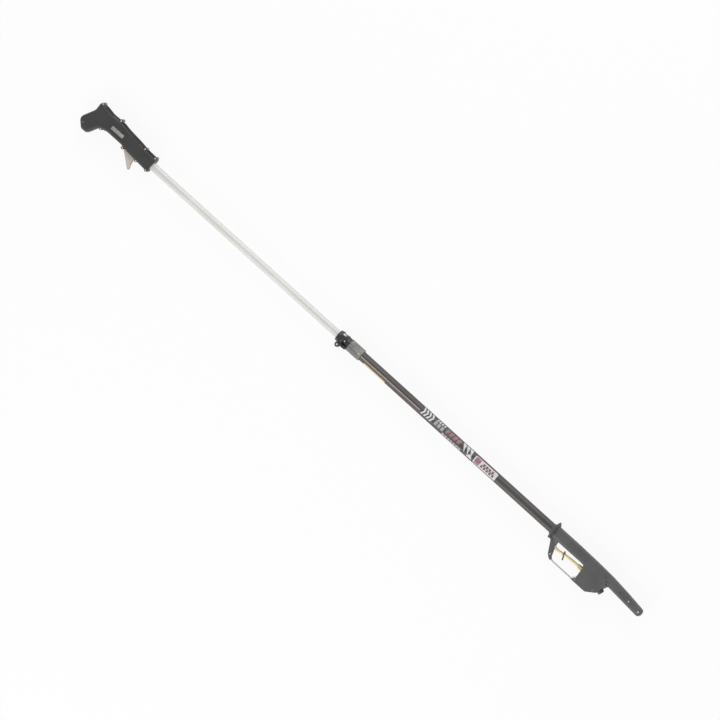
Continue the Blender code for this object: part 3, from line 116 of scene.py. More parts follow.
# Screw lugs on the handle's edges: first the upper ones, then the lower ones.
LUG_RADIUS = 4.9
HANDLE_LUGS = [
    (HANDLE_X - 230.3, 41.2),
    (HANDLE_X - 156.4, 40.2),
    (HANDLE_X - 46.6, 25.4),
    (HANDLE_X - 5.4, 24.4),
    (HANDLE_X - 190.0, -18.0),
    (HANDLE_X - 101.8, -17.2),
    (HANDLE_X - 46.3, -18.8),
    (HANDLE_X - 5.4, -20.0),
]


def place(x, y=0.0, z=0.0):
    """A point of the pole's frame, in millimetres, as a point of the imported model."""
    return ORIGIN + Vector((x, y, z)) * MM


def joint_limit(name, key):
    """The upper limit of one of the model's joints."""
    return next(joint for joint in frame["joints"] if joint["name"] == name)[key][1]


def linked(name, data):
    """A new object in the scene for a mesh, a lamp or a camera."""
    item = bpy.data.objects.new(name, data)
    bpy.context.scene.collection.objects.link(item)
    return item


def make_camera():
    """A long lens at the photograph's angle, turned about its own axis so that the pole has its slope."""
    along = Vector((1.0, 0.0, 0.0)) - VIEW * VIEW.x
    pixel = PIXEL * MM * along.length
    along.normalize()
    across = VIEW.cross(along)
    right = along * math.cos(SLOPE) + across * math.sin(SLOPE)
    up = across * math.cos(SLOPE) - along * math.sin(SLOPE)
    middle = IMAGE_PIXELS / 2
    sideways = (ANCHOR_PIXEL[0] - middle) * pixel
    downwards = (ANCHOR_PIXEL[1] - middle) * pixel
    aim = place(*ANCHOR) - right * sideways + up * downwards
    distance = IMAGE_PIXELS * pixel * LENS / SENSOR
    data = bpy.data.cameras.new("camera")
    data.lens = LENS
    data.sensor_width = SENSOR
    data.clip_end = CLIP_END
    camera = linked("camera", data)
    turn = Matrix((right, up, VIEW)).transposed().to_4x4()
    camera.matrix_world = Matrix.Translation(aim + VIEW * distance) @ turn
    bpy.context.scene.camera = camera


make_camera()
bpy.context.scene.view_settings.view_transform = "Standard"


class Wire:
    """A value in a node tree, on which sums and products add their own nodes."""

    def __init__(self, tree, socket):
        self.tree = tree
        self.socket = socket

    def math(self, operation, other):
        return self.tree.node("ShaderNodeMath", {"operation": operation}, [self, other])

    def __add__(self, other):
        return self.math("ADD", other)

    def __radd__(self, other):
        return self.math("ADD", other)

    def __sub__(self, other):
        return self.math("SUBTRACT", other)

    def __rsub__(self, other):
        return self.tree.node("ShaderNodeMath", {"operation": "SUBTRACT"}, [other, self])

    def __mul__(self, other):
        return self.math("MULTIPLY", other)

    def __rmul__(self, other):
        return self.math("MULTIPLY", other)

    def __truediv__(self, other):
        return self.math("DIVIDE", other)


class Tree:
    """A node tree, filled through one method that takes a node's type, its settings and its inputs."""

    def __init__(self, tree):
        self.nodes = tree.nodes
        self.links = tree.links

    def node(self, kind, settings=None, inputs=(), output=0):
        made = self.nodes.new(kind)
        for key, value in (settings or {}).items():
            setattr(made, key, value)
        pairs = inputs.items() if isinstance(inputs, dict) else enumerate(inputs)
        for key, value in pairs:
            for wire in value if isinstance(value, list) else [value]:
                if isinstance(wire, Wire):
                    self.links.new(wire.socket, made.inputs[key])
                else:
                    made.inputs[key].default_value = wire
        return Wire(self, made.outputs[output])


NOISE_LEVELS = (0.3, 0.7)  # nearly all of a noise lies between them
WORN_AND_LIT_EDGE = (0.536, 0.62)  # pointiness at which the paler edges start, and where they are full: partly wear, partly painted highlight
LUG_BLUR = 0.6
MIX_FIRST, MIX_SECOND, MIX_RESULT = 6, 7, 2  # the colour sockets of a Mix node


class Finish(Tree):
    """A material, whose varying values feed its shader's sockets."""

    def __init__(self, name, roughness, metallic=0.0):
        self.material = bpy.data.materials.new(name)
        self.material.use_nodes = True
        super().__init__(self.material.node_tree)
        self.shader = self.nodes["Principled BSDF"]
        self.shader.inputs["Roughness"].default_value = roughness
        self.shader.inputs["Metallic"].default_value = metallic

    def where(self):
        """The place on the object, in metres."""
        return self.node("ShaderNodeTexCoord", output="Object")

    def near(self, centres, reach):
        """1 within that many millimetres of any of the given points of the pole's plane."""
        flat = self.node("ShaderNodeVectorMath", {"operation": "MULTIPLY"}, [self.where(), (1.0, 1.0, 0.0)])
        nearest = None
        for x, y in centres:
            spot = place(x, y)
            inputs = [flat, (spot.x, spot.y, 0.0)]
            gap = self.node("ShaderNodeVectorMath", {"operation": "DISTANCE"}, inputs, output=1)
            nearest = gap if nearest is None else nearest.math("MINIMUM", gap)
        return 1.0 - self.ramp(nearest, reach * MM, (reach + LUG_BLUR) * MM)

    def noise(self, size, detail=2.0, along=1.0):
        """Soft noise with lumps about that many millimetres wide, and size / along millimetres long."""
        scale = 1.0 / (size * MM)
        inputs = {"Vector": self.where(), "Scale": (scale * along, scale, scale)}
        where = self.node("ShaderNodeMapping", {}, inputs)
        return self.node("ShaderNodeTexNoise", {}, {"Vector": where, "Scale": 1.0, "Detail": detail})

    def ramp(self, value, low, high, start=0.0, end=1.0):
        """Carries the span from low to high smoothly over to the one from start to end."""
        inputs = {"Value": value, "From Min": low, "From Max": high, "To Min": start, "To Max": end}
        return self.node("ShaderNodeMapRange", {"interpolation_type": "SMOOTHSTEP"}, inputs)

    def spread(self, noise, start=0.0, end=1.0):
        """Carries a noise over to the span from start to end."""
        return self.ramp(noise, *NOISE_LEVELS, start, end)

    def mix(self, factor, first, second):
        inputs = {"Factor": factor, MIX_FIRST: first, MIX_SECOND: second}
        return self.node("ShaderNodeMix", {"data_type": "RGBA"}, inputs, output=MIX_RESULT)

    def edges(self):
        """1 on convex edges, 0 on flat faces."""
        return self.ramp(self.node("ShaderNodeNewGeometry", output="Pointiness"), *WORN_AND_LIT_EDGE)

    def set(self, name, value):
        self.links.new(value.socket, self.shader.inputs[name])

    def roughen(self, noise, roughness, less, more):
        """Lets the roughness follow a noise, from that much less to that much more."""
        self.set("Roughness", self.spread(noise, roughness - less, roughness + more))

    def bump(self, height, depth, strength):
        """Bumps that many millimetres deep."""
        inputs = {"Height": height, "Distance": depth * MM, "Strength": strength}
        self.set("Normal", self.node("ShaderNodeBump", {}, inputs))


class Shape(Tree):
    """A Geometry Nodes tree with named sizes, run once on an object and turned into a plain mesh."""

    def __init__(self, name, sizes):
        self.group = bpy.data.node_groups.new(name, "GeometryNodeTree")
        super().__init__(self.group)
        ports = self.group.interface
        ports.new_socket("Geometry", in_out="INPUT", socket_type="NodeSocketGeometry")
        ports.new_socket("Geometry", in_out="OUTPUT", socket_type="NodeSocketGeometry")
        self.sizes = sizes
        self.keys = {}
        for key, value in sizes.items():
            kind = "NodeSocketInt" if isinstance(value, int) else "NodeSocketFloat"
            self.keys[key] = ports.new_socket(key, in_out="INPUT", socket_type=kind).identifier
        self.start = self.nodes.new("NodeGroupInput")
        self.end = self.nodes.new("NodeGroupOutput")

    def size(self, key):
        return Wire(self, self.start.outputs[key])

    def geometry(self):
        return Wire(self, self.start.outputs["Geometry"])

    def vector(self, x, y, z):
        return self.node("ShaderNodeCombineXYZ", {}, [x, y, z])

    def raised(self, geometry, height):
        inputs = {"Geometry": geometry, "Translation": self.vector(0.0, 0.0, height)}
        return self.node("GeometryNodeTransform", {}, inputs)

    def on_points(self, instance, scale):
        """The instance on each point of the input, scaled by the point's own attribute."""
        kind = {"data_type": "FLOAT_VECTOR"}
        inputs = {
            "Points": self.node("GeometryNodeMeshToPoints", {}, {"Mesh": self.geometry()}),
            "Instance": instance,
            "Scale": self.node("GeometryNodeInputNamedAttribute", kind, {"Name": scale}),
        }
        return self.node("GeometryNodeInstanceOnPoints", {}, inputs)

    def close(self, geometry, material):
        """Ends the tree, with its instances made real and painted."""
        solid = self.node("GeometryNodeRealizeInstances", {}, {"Geometry": geometry})
        painted = self.node("GeometryNodeSetMaterial", {}, {"Geometry": solid, "Material": material})
        self.links.new(painted.socket, self.end.inputs[0])

    def run(self, name, points, smooth, edges=(), scales=None):
        """The tree's result on a mesh of loose points or edges, as a finished object at the origin."""
        mesh = bpy.data.meshes.new(name + "_points")
        mesh.from_pydata([tuple(p) for p in points], list(edges), [])
        for key, values in (scales or {}).items():
            layer = mesh.attributes.new(key, "FLOAT_VECTOR", "POINT")
            for item, value in zip(layer.data, values):
                item.vector = value
        source = linked(name + "_source", mesh)
        modifier = source.modifiers.new("Shape", "NODES")
        modifier.node_group = self.group
        for key, value in self.sizes.items():
            modifier[self.keys[key]] = value
        return finished(name, baked(source), smooth)


def baked(source):
    """The evaluated mesh of an object, which is then removed."""
    bpy.context.view_layer.update()
    graph = bpy.context.evaluated_depsgraph_get()
    shown = source.evaluated_get(graph)
    mesh = bpy.data.meshes.new_from_object(shown, preserve_all_data_layers=True, depsgraph=graph)
    bpy.data.objects.remove(source, do_unlink=True)
    return mesh


def as_mesh(bm, name):
    """The mesh of a form that is ready."""
    mesh = bpy.data.meshes.new(name)
    bm.to_mesh(mesh)
    bm.free()
    return mesh


def as_solid(bm, name):
    """The mesh of a closed form, with its faces turned outwards."""
    bmesh.ops.recalc_face_normals(bm, faces=bm.faces)
    return as_mesh(bm, name)


def paint(mesh, material):
    mesh.materials.clear()
    mesh.materials.append(material)


def finished(name, mesh, smooth, material=None):
    """An object at the origin for a mesh in the model's metres, shaded smooth up to an angle in degrees."""
    mesh.name = name
    mesh.shade_smooth()
    mesh.set_sharp_from_angle(angle=math.radians(smooth))
    if material:
        paint(mesh, material)
    return linked(name, mesh)


def hand_in(piece, body, slot, *replaced):
    """Lets a piece move with a body, and hides the nodes that it stands for. The slot is not used."""
    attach(piece, body)
    if replaced:
        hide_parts(*replaced)


def tone(red, green=None, blue=None):
    """A colour from its display values, 0 to 255, as the shader's linear ones, or a grey from one value."""
    values = (red, red if green is None else green, red if blue is None else blue)
    linear = [(v / 255 / 12.92) if v <= 10 else ((v / 255 + 0.055) / 1.055) ** 2.4 for v in values]
    return (*linear, 1.0)


def moulded(name, light, dark, roughness, grain, lumps, along=1.0, edge_wear_and_highlight=None, lugs=None):
    """A moulded plastic with a fine grain and slow changes of tone; where asked, paler convex edges (partly
    wear, partly painted highlight) and a painted highlight on the handle's lugs.
    """
    finish = Finish(name, roughness)
    slow = finish.noise(lumps, detail=3.0, along=along)
    fine = finish.noise(grain)
    slow_share = 0.8
    colour = finish.mix(finish.spread(slow * slow_share + fine * (1.0 - slow_share)), dark, light)
    # Painted highlight, partly edge wear: convex edges are painted paler in patches.
    if edge_wear_and_highlight:
        patches = finish.ramp(finish.noise(size=5.0, detail=3.0), low=0.4, high=0.65)
        edge_wear_and_highlight_strength = 0.6
        colour = finish.mix(finish.edges() * patches * edge_wear_and_highlight_strength, colour, edge_wear_and_highlight)
    # Painted highlight: the handle's lugs are painted paler, where the light catches them.
    if lugs:
        colour = finish.mix(finish.near(HANDLE_LUGS, LUG_RADIUS), colour, lugs)
    finish.set("Base Color", colour)
    finish.roughen(fine, roughness, less=0.07, more=0.08)
    finish.bump(fine, depth=0.03, strength=0.6)
    return finish.material


def drawn_metal(name, light, dark, roughness, metallic):
    """A drawn tube, with long fine lines along the pole and slow changes of tone."""
    finish = Finish(name, roughness, metallic)
    lines = finish.noise(size=0.5, detail=3.0, along=0.004)
    slow = finish.noise(size=45.0, along=0.35)
    line_share = 0.6
    shade = finish.spread(lines * line_share + slow * (1.0 - line_share))
    finish.set("Base Color", finish.mix(shade, dark, light))
    finish.roughen(lines, roughness, less=0.06, more=0.08)
    finish.bump(lines, depth=0.01, strength=0.4)
    return finish.material


def turned_steel(name, light, dark, roughness):
    """Plated steel with a slightly cloudy surface."""
    finish = Finish(name, roughness, metallic=0.6)
    cloud = finish.noise(size=1.6, detail=3.0)
    finish.set("Base Color", finish.mix(finish.spread(cloud), dark, light))
    finish.roughen(cloud, roughness, less=0.08, more=0.1)
    return finish.material


def jacket(name, light, dark, roughness):
    """A cable jacket or soft boot, with faint lengthwise streaks."""
    finish = Finish(name, roughness)
    streaks = finish.noise(size=2.2, along=0.08)
    fine = finish.noise(size=0.5)
    finish.set("Base Color", finish.mix(finish.spread(streaks), dark, light))
    finish.roughen(fine, roughness, less=0.05, more=0.1)
    finish.bump(fine, depth=0.02, strength=0.5)
    return finish.material


def printed(name, light, dark):
    """A thin printed film, slightly mottled and rubbed."""
    roughness = 0.4
    finish = Finish(name, roughness)
    rub = finish.noise(size=3.0, detail=4.0, along=0.4)
    finish.set("Base Color", finish.mix(finish.spread(rub), dark, light))
    finish.roughen(rub, roughness, less=0.0, more=0.15)
    return finish.material


# Each finish has its lighter and its darker tone.
GRAPHITE_TONES = (tone(63, 62, 61), tone(52, 52, 53))
GRAPHITE = moulded("graphite_moulding", *GRAPHITE_TONES, roughness=0.5, grain=0.35, lumps=60.0)
# The far cover's graphite, with a painted highlight on its lugs.
GRAPHITE_LUG_HIGHLIGHT = moulded("graphite_lug_highlight", *GRAPHITE_TONES, roughness=0.5, grain=0.35, lumps=60.0, lugs=tone(150))
HEAD_GREY = moulded(
    "head_moulding", tone(94, 93, 94), tone(82, 81, 82), roughness=0.58, grain=0.35, lumps=60.0
)
BOW_GREY = moulded("bow_moulding", tone(204), tone(190), roughness=0.6, grain=0.35, lumps=60.0)
CLAMP_BLACK = moulded(
    "clamp_black", tone(64, 62, 62), tone(50, 49, 49), roughness=0.34, grain=0.3, lumps=20.0
)
# Painted highlight and shade: the sleeve's streaky tone along the pole stands for highlights on its ribs and
# shade in its grooves.
SLEEVE_GREY = moulded(
    "sleeve_grey",
    tone(150, 148, 144),
    tone(116, 114, 111),
    roughness=0.45,
    grain=0.3,
    lumps=7.0,
    along=0.2,
    # paler edges: partly wear, partly painted highlight
    edge_wear_and_highlight=tone(175),
)
TRIGGER_GREY = moulded(
    "trigger_grey", tone(210, 201, 193), tone(196, 185, 176), roughness=0.5, grain=0.3, lumps=18.0
)
PLATE_GREY = moulded(
    "plate_grey", tone(168, 165, 158), tone(132, 129, 123), roughness=0.45, grain=0.3, lumps=7.0
)
SWITCH_BLACK = moulded("switch_black", tone(40), tone(32), roughness=0.4, grain=0.25, lumps=10.0)
# Painted shade: near black for the handle's upper side, which lies in shade.
PAINTED_SHADE_BLACK = moulded("painted_shade_black", tone(30), tone(22), roughness=0.85, grain=0.3, lumps=40.0)
PLUNGER_WHITE = moulded(
    "plunger_white", tone(225, 225, 220), tone(212, 212, 206), roughness=0.4, grain=0.25, lumps=5.0
)
BUSH_WHITE = moulded(
    "bush_white", tone(222, 220, 212), tone(208, 206, 198), roughness=0.45, grain=0.3, lumps=12.0
)
TIE_BLACK = moulded("tie_black", tone(112, 108, 92), tone(96, 92, 78), roughness=0.5, grain=0.25, lumps=8.0)
BRIGHT = drawn_metal(
    "bright_aluminium", tone(226, 226, 222), tone(215, 214, 210), roughness=0.55, metallic=0.25
)
DARK_TUBE = drawn_metal(
    "dark_anodised_aluminium", tone(93, 88, 88), tone(77, 73, 73), roughness=0.45, metallic=0.4
)
STEEL = turned_steel("zinc_plated_steel", tone(240, 238, 235), tone(220, 218, 215), roughness=0.3)
# Painted shade: darker copies of the plated steel, for the screws that look less lit; the first is also
# slightly pink.
STEEL_IN_SHADE = turned_steel("steel_in_shade", tone(184, 172, 172), tone(160, 148, 148), roughness=0.45)
STEEL_IN_DEEP_SHADE = turned_steel("steel_in_deep_shade", tone(120, 118, 122), tone(98, 96, 100), roughness=0.5)
YELLOW = jacket("yellow_lead", tone(250, 231, 178), tone(242, 220, 160), roughness=0.45)
BOOT_GREEN = jacket("boot_yellow_green", tone(226, 220, 142), tone(210, 203, 124), roughness=0.55)
LABEL_YELLOW = printed("label_yellow", tone(224, 202, 154), tone(211, 189, 139))
PRINT_WHITE = printed("print_white", tone(232, 233, 236), tone(204, 205, 208))
PRINT_GREY = printed("print_grey", tone(184, 186, 183), tone(158, 160, 157))
PRINT_ROSE = printed("print_rose", tone(166, 128, 133), tone(144, 108, 113))
PRINT_DARK = printed("print_dark", tone(112, 84, 90), tone(94, 70, 76))
PRINT_LINE = printed("print_line", tone(176, 164, 156), tone(158, 146, 138))
PLATE_WHITE = printed("plate_white", tone(232, 224, 226), tone(214, 206, 208))

FINISHES = {
    "graphite_moulding": GRAPHITE,
    "head_moulding": HEAD_GREY,
    "bow_moulding": BOW_GREY,
    "bright_aluminium": BRIGHT,
    "dark_anodised_aluminium": DARK_TUBE,
    "clamp_black": CLAMP_BLACK,
    "sleeve_grey": SLEEVE_GREY,
    "trigger_grey": TRIGGER_GREY,
    "plate_grey": PLATE_GREY,
    "zinc_plated_steel": STEEL,
    "spring_steel": STEEL,
    "switch_black": SWITCH_BLACK,
    "plunger_white": PLUNGER_WHITE,
    "bush_white": BUSH_WHITE,
    "yellow_lead": YELLOW,
    "boot_yellow_green": BOOT_GREEN,
    "tie_black": TIE_BLACK,
}
for node, slot_name in SLOTS.items():
    paint(NODES[node].data, FINISHES[slot_name])

# Angles in degrees up to which faces are shaded into one another.
COVER_SMOOTH = 50.0
TURNED_SMOOTH = 35.0
SCREW_SMOOTH = 32.0
CORD_SMOOTH = 40.0
GUSSET_SMOOTH = 40.0
FILM_SMOOTH = 30.0
SHADE_STRIP_SMOOTH = 3.0

MERGE = 0.000002  # metres, up to which two corners are one
FLAT = 0.6  # degrees, up to which two faces are one


def smoothed(node, name):
    """A copy of a node's solid with its facets shaded into one another, which takes the node's place."""
    bm = bmesh.new()
    bm.from_mesh(NODES[node].data)
    bmesh.ops.remove_doubles(bm, verts=bm.verts, dist=MERGE)
    bmesh.ops.dissolve_degenerate(bm, edges=bm.edges, dist=MERGE)
    bmesh.ops.dissolve_limit(bm, angle_limit=math.radians(FLAT), verts=bm.verts, edges=bm.edges)
    source = finished(name + "_source", as_solid(bm, name), COVER_SMOOTH)
    even = source.modifiers.new("Even", "WEIGHTED_NORMAL")
    even.keep_sharp = True
    mesh = baked(source)
    mesh.name = name
    paint(mesh, FINISHES[SLOTS[node]])
    hand_in(linked(name, mesh), body_of(NODES[node])[0], SLOTS[node], node)


TURNED_STEPS = 96


def turned(name, profile, material):
    """A turned piece round the pole's axis. Its profile is a loop of (distance along the pole, radius)."""
    bm = bmesh.new()
    turns = [2 * math.pi * k / TURNED_STEPS for k in range(TURNED_STEPS)]
    rings = []
    for x, radius in profile:
        rings.append([bm.verts.new(place(x, radius * math.sin(a), radius * math.cos(a))) for a in turns])
    for low, high in zip(rings, rings[1:] + rings[:1]):
        for i in range(TURNED_STEPS):
            j = (i + 1) % TURNED_STEPS
            bm.faces.new((low[i], low[j], high[j], high[i]))
    return finished(name, as_solid(bm, name), TURNED_SMOOTH, material)


TUBE_EDGE = 0.4


def tube_profile(start, end, outer, inner):
    """A tube's wall, with broken edges at both ends."""
    return [
        (start + TUBE_EDGE, outer),
        (end - TUBE_EDGE, outer),
        (end, outer - TUBE_EDGE),
        (end, inner),
        (start, inner),
        (start, outer - TUBE_EDGE),
    ]


def make_tubes():
    """The bright inner tube and the dark outer tube, as fine turned walls."""
    bright = turned("bright_tube", tube_profile(*INNER_ENDS, INNER_RADIUS, INNER_BORE), BRIGHT)
    hand_in(bright, "handle", "bright_aluminium", "inner_tube")
    dark = turned("dark_tube", tube_profile(TUBE_REAR, OUTER_END, OUTER_RADIUS, OUTER_BORE), DARK_TUBE)
    hand_in(dark, "pole", "dark_anodised_aluminium", "outer_tube")


NECK_START = 34.6
NECK_INSIDE = 17.4
NECK_RADIUS = 17.95
NECK_EDGE = 0.3
NECK_GROOVES = [(37.4, 38.6), (41.0, 42.2)]
GROOVE_SLOPE = 0.2
GROOVE_DEPTH = 0.4
SHOULDER_ENDS = (44.9, 47.6)
SHOULDER_RADIUS = 19.12
SHOULDER_EDGE = 0.5


def make_neck_band():
    """The black grooved band round the sleeve's neck, and the step up to the sleeve."""
    bottom = NECK_RADIUS - GROOVE_DEPTH
    profile = [
        (NECK_START, NECK_INSIDE),
        (NECK_START, NECK_RADIUS - NECK_EDGE),
        (NECK_START + NECK_EDGE, NECK_RADIUS),
    ]
    for low, high in NECK_GROOVES:
        profile += [(low, NECK_RADIUS), (low + GROOVE_SLOPE, bottom)]
        profile += [(high - GROOVE_SLOPE, bottom), (high, NECK_RADIUS)]
    start, end = SHOULDER_ENDS
    profile += [
        (start, NECK_RADIUS),
        (start, SHOULDER_RADIUS - SHOULDER_EDGE),
        (start + SHOULDER_EDGE, SHOULDER_RADIUS),
        (end, SHOULDER_RADIUS),
        (end, NECK_INSIDE),
    ]
    hand_in(turned("neck_band", profile, CLAMP_BLACK), "pole", "clamp_black")


SCREW_SIZES = {
    "Head radius": 2.8 * MM,
    "Head height": 2.0 * MM,
    "Recess length": 3.4 * MM,
    "Recess width": 0.7 * MM,
    "Recess depth": 1.2 * MM,
    "Shank radius": 1.4 * MM,
}
HEAD_DETAIL = {"Segments": 24, "Rings": 12}
SHANK_SIDES = 16
SMALL_SCREW = 0.95  # heads narrower than this share of the full width are also lower
SMALL_HEIGHT = 0.7


def screw_head(shape):
    """A pan head with a cross recess, its flat side at the origin."""
    radius, height = shape.size("Head radius"), shape.size("Head height")
    length, width = shape.size("Recess length"), shape.size("Recess width")
    deep = shape.size("Recess depth") * 2.0
    ball = shape.node("GeometryNodeMeshUVSphere", {}, {**HEAD_DETAIL, "Radius": radius})
    flatter = shape.vector(1.0, 1.0, height / radius)
    dome = shape.node("GeometryNodeTransform", {}, {"Geometry": ball, "Scale": flatter})
    block = shape.vector(radius * 4.0, radius * 4.0, height * 2.0)
    below = shape.node("GeometryNodeMeshCube", {}, {"Size": block})
    cutters = [shape.raised(below, height * -1.0)]
    for size in (shape.vector(length, width, deep), shape.vector(width, length, deep)):
        cutters.append(shape.raised(shape.node("GeometryNodeMeshCube", {}, {"Size": size}), height))
    inputs = {"Mesh 1": dome, "Mesh 2": cutters}
    return shape.node("GeometryNodeMeshBoolean", {"operation": "DIFFERENCE"}, inputs)


def make_screws(name, nodes, material, body):
    """Pan-headed screws with a cross recess in place of the plain ones, each on its node's seat."""
    shape = Shape(name, SCREW_SIZES)
    head = screw_head(shape)
    sides = {"Vertices": SHANK_SIDES, "Radius": shape.size("Shank radius"), "Depth": 1.0}
    shank = shape.raised(shape.node("GeometryNodeMeshCylinder", {}, sides), -0.5)
    both = [shape.on_points(head, "head_scale"), shape.on_points(shank, "shank_scale")]
    shape.close(shape.node("GeometryNodeJoinGeometry", {}, {"Geometry": both}), material)

    seats = []
    scales = {"head_scale": [], "shank_scale": []}
    for node in nodes:
        low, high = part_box(node)
        wide = (high.x - low.x) / 2 / SCREW_SIZES["Head radius"]
        tall = wide if wide > SMALL_SCREW else SMALL_HEIGHT
        seat = high.z - tall * SCREW_SIZES["Head height"]
        seats.append(((low.x + high.x) / 2, (low.y + high.y) / 2, seat))
        scales["head_scale"].append((wide, wide, tall))
        scales["shank_scale"].append((1.0, 1.0, seat - low.z))
    hand_in(shape.run(name, seats, SCREW_SMOOTH, scales=scales), body, "zinc_plated_steel", *nodes)


def numbered(prefix, *numbers):
    return [f"{prefix}_{number}" for number in numbers]


def make_all_screws():
    make_screws("handle_screws", numbered("handle_screw", *range(1, 9)), STEEL, "handle")
    make_screws("pommel_screw", numbered("handle_screw", 9), STEEL_IN_SHADE, "handle")
    # The head screws are all of the plated steel; five of them are painted darker as shade.
    make_screws("bright_head_screws", numbered("head_screw", 1, 7, 8), STEEL, "pole")
    make_screws("head_screws_in_shade", numbered("head_screw", 2, 3, 5), STEEL_IN_SHADE, "pole")
    make_screws("head_screws_in_deep_shade", numbered("head_screw", 4, 6), STEEL_IN_DEEP_SHADE, "pole")
    make_screws("clamp_screws", ["collar_screw", "sleeve_screw"], STEEL, "pole")


KNOT_STEPS = 24


def smooth_route(points, step):
    """Points at even steps along a smooth curve through given ones."""
    knots = [Vector(p) for p in points]
    knots = [2 * knots[0] - knots[1]] + knots + [2 * knots[-1] - knots[-2]]
    fine = []
    for a, b, c, d in zip(knots, knots[1:], knots[2:], knots[3:]):
        for k in range(KNOT_STEPS):
            t = k / KNOT_STEPS
            square, cube = 2 * a - 5 * b + 4 * c - d, 3 * b - a - 3 * c + d
            fine.append(b + 0.5 * ((c - a) * t + square * t**2 + cube * t**3))
    fine.append(knots[-2])
    length = sum((b - a).length for a, b in zip(fine, fine[1:]))
    count = max(1, round(length / step))
    even = [fine[0]]
    walked = 0.0
    for a, b in zip(fine, fine[1:]):
        piece = (b - a).length
        while len(even) < count and walked + piece >= length * len(even) / count:
            even.append(a.lerp(b, (length * len(even) / count - walked) / piece))
        walked += piece
    even.append(fine[-1])
    return even


def make_cord(name, route, radius, material, sides):
    """A round cord with closed ends, swept in Geometry Nodes along a route in the pole's millimetres."""
    shape = Shape(name, {"Radius": radius * MM, "Sides": sides})
    path = shape.node("GeometryNodeMeshToCurve", {}, {"Mesh": shape.geometry()})
    ring = {"Resolution": shape.size("Sides"), "Radius": shape.size("Radius")}
    section = shape.node("GeometryNodeCurvePrimitiveCircle", {"mode": "RADIUS"}, ring)
    swept = {"Curve": path, "Profile Curve": section, "Fill Caps": True}
    shape.close(shape.node("GeometryNodeCurveToMesh", {}, swept), material)
    edges = [(i, i + 1) for i in range(len(route) - 1)]
    return shape.run(name, [place(*p) for p in route], CORD_SMOOTH, edges=edges)


# Routes of the leads: places along the pole from the head's and the handle's frames, and across it.
HEAD_LEAD_RADIUS = 4.25
HEAD_LEAD = [
    (-22, -8.4),
    (-8, -8.4),
    (4, -8.6),
    (13, -11.0),
    (21, -17.3),
    (27.5, -25.0),
    (34.5, -32.2),
    (43, -37.0),
    (52, -38.2),
    (64, -36.3),
    (80, -34.0),
    (100, -32.4),
    (122, -31.4),
    (150, -31.2),
    (166, -31.2),
    (182, -31.6),
    (195, -33.6),
]
HEAD_LEAD_LAST = -35.7  # how far down it ends
HEAD_LEAD_SHORT = 2.0  # and how far before its solid's end
HANDLE_LEAD_RADIUS = 2.5
HANDLE_LEAD = [
    (-74, 13.9),
    (-73.9, 16.6),
    (-69, 19.2),
    (-62.5, 18.6),
    (-58, 14.5),
    (-54.8, 9.0),
    (-50.5, 4.0),
    (-43, 0.8),
    (-30, 0.0),
    (-15, 0.0),
]
HANDLE_LEAD_END = 112.0
CURL_RADIUS = 6.4
CURLS = 14
CURL_POINTS = 24
CURL_ENDS = (112.3, 845.7)


def make_leads():
    """The lead through the head, the thin one in the handle's tube, and its curled spare length."""
    solid_end = (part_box("lead_head")[1].x - ORIGIN.x) / MM
    last = solid_end - HEAD_X - HEAD_LEAD_SHORT
    route = [(HEAD_X + x, y, 0) for x, y in HEAD_LEAD] + [(HEAD_X + last, HEAD_LEAD_LAST, 0)]
    lead = make_cord("yellow_lead", smooth_route(route, step=2.5), HEAD_LEAD_RADIUS, YELLOW, sides=20)
    hand_in(lead, "pole", "yellow_lead", "lead_head")

    route = smooth_route([(HANDLE_X + x, y, 0) for x, y in HANDLE_LEAD], step=2.0)
    route.append(Vector((HANDLE_LEAD_END, 0, 0)))
    thin = make_cord("thin_lead", route, HANDLE_LEAD_RADIUS, YELLOW, sides=16)
    hand_in(thin, "handle", "yellow_lead", "lead_handle")

    start, end = CURL_ENDS
    count = CURLS * CURL_POINTS
    curl = []
    for k in range(count + 1):
        angle = 2 * math.pi * k / CURL_POINTS
        reach = CURL_RADIUS * min(1.0, k / CURL_POINTS, (count - k) / CURL_POINTS)
        x = start + HANDLE_LEAD_RADIUS + (end - start - 2 * HANDLE_LEAD_RADIUS) * k / count
        curl.append((x, reach * math.cos(angle), reach * math.sin(angle)))
    coil = make_cord("curled_lead", curl, HANDLE_LEAD_RADIUS, YELLOW, sides=12)
    hand_in(coil, "pole", "yellow_lead", "lead_coil")
    travel = joint_limit("tube_slide", "range_m")
    1 - travel / ((end - start) * MM)
    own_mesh(coil)


# The belly's slanted corner, in the head's frame, and how thick its edging is.
GUSSET = [(132.9, -72.3), (133.6, -71.0), (147.2, -55.8), (150.0, -58.4), (138.6, -73.0)]
GUSSET_HALF = 20.4
GUSSET_DEPTH = 1.2
GUSSET_EDGE = 0.3


def make_gusset(name, side):
    """The light edging on one side of the belly's slanted corner, where the bow ends."""
    bm = bmesh.new()
    depths = [side * GUSSET_HALF, side * (GUSSET_HALF - GUSSET_DEPTH)]
    near, far = [[bm.verts.new(place(HEAD_X + x, y, z)) for x, y in GUSSET] for z in depths]
    bm.faces.new(near)
    bm.faces.new(far[::-1])
    for i in range(len(GUSSET)):
        j = (i + 1) % len(GUSSET)
        bm.faces.new((near[i], near[j], far[j], far[i]))
    bmesh.ops.recalc_face_normals(bm, faces=bm.faces)
    bmesh.ops.bevel(bm, geom=bm.edges[:], offset=GUSSET_EDGE * MM, segments=2, affect="EDGES")
    hand_in(finished(name, as_mesh(bm, name), GUSSET_SMOOTH, BOW_GREY), "pole", "bow_moulding")


SPINE_HALF = (18.0, 14.0)  # at the two ends of its taper
SPINE_TAPER = (-6.0, 366.3)
BELLY_HALF = 20.0
BLEND_STATIONS = [(137.0, -9.0), (141.0, -4.5), (148.0, -1.5), (208.0, -1.5), (220.0, -4.5), (226.5, -9.5)]
BLEND_LOW = -12.8
BLEND_PROUD = (0.04, 0.02)  # how far its two long edges stand off the belly and the spine
BLEND_DEPTH = 3.0


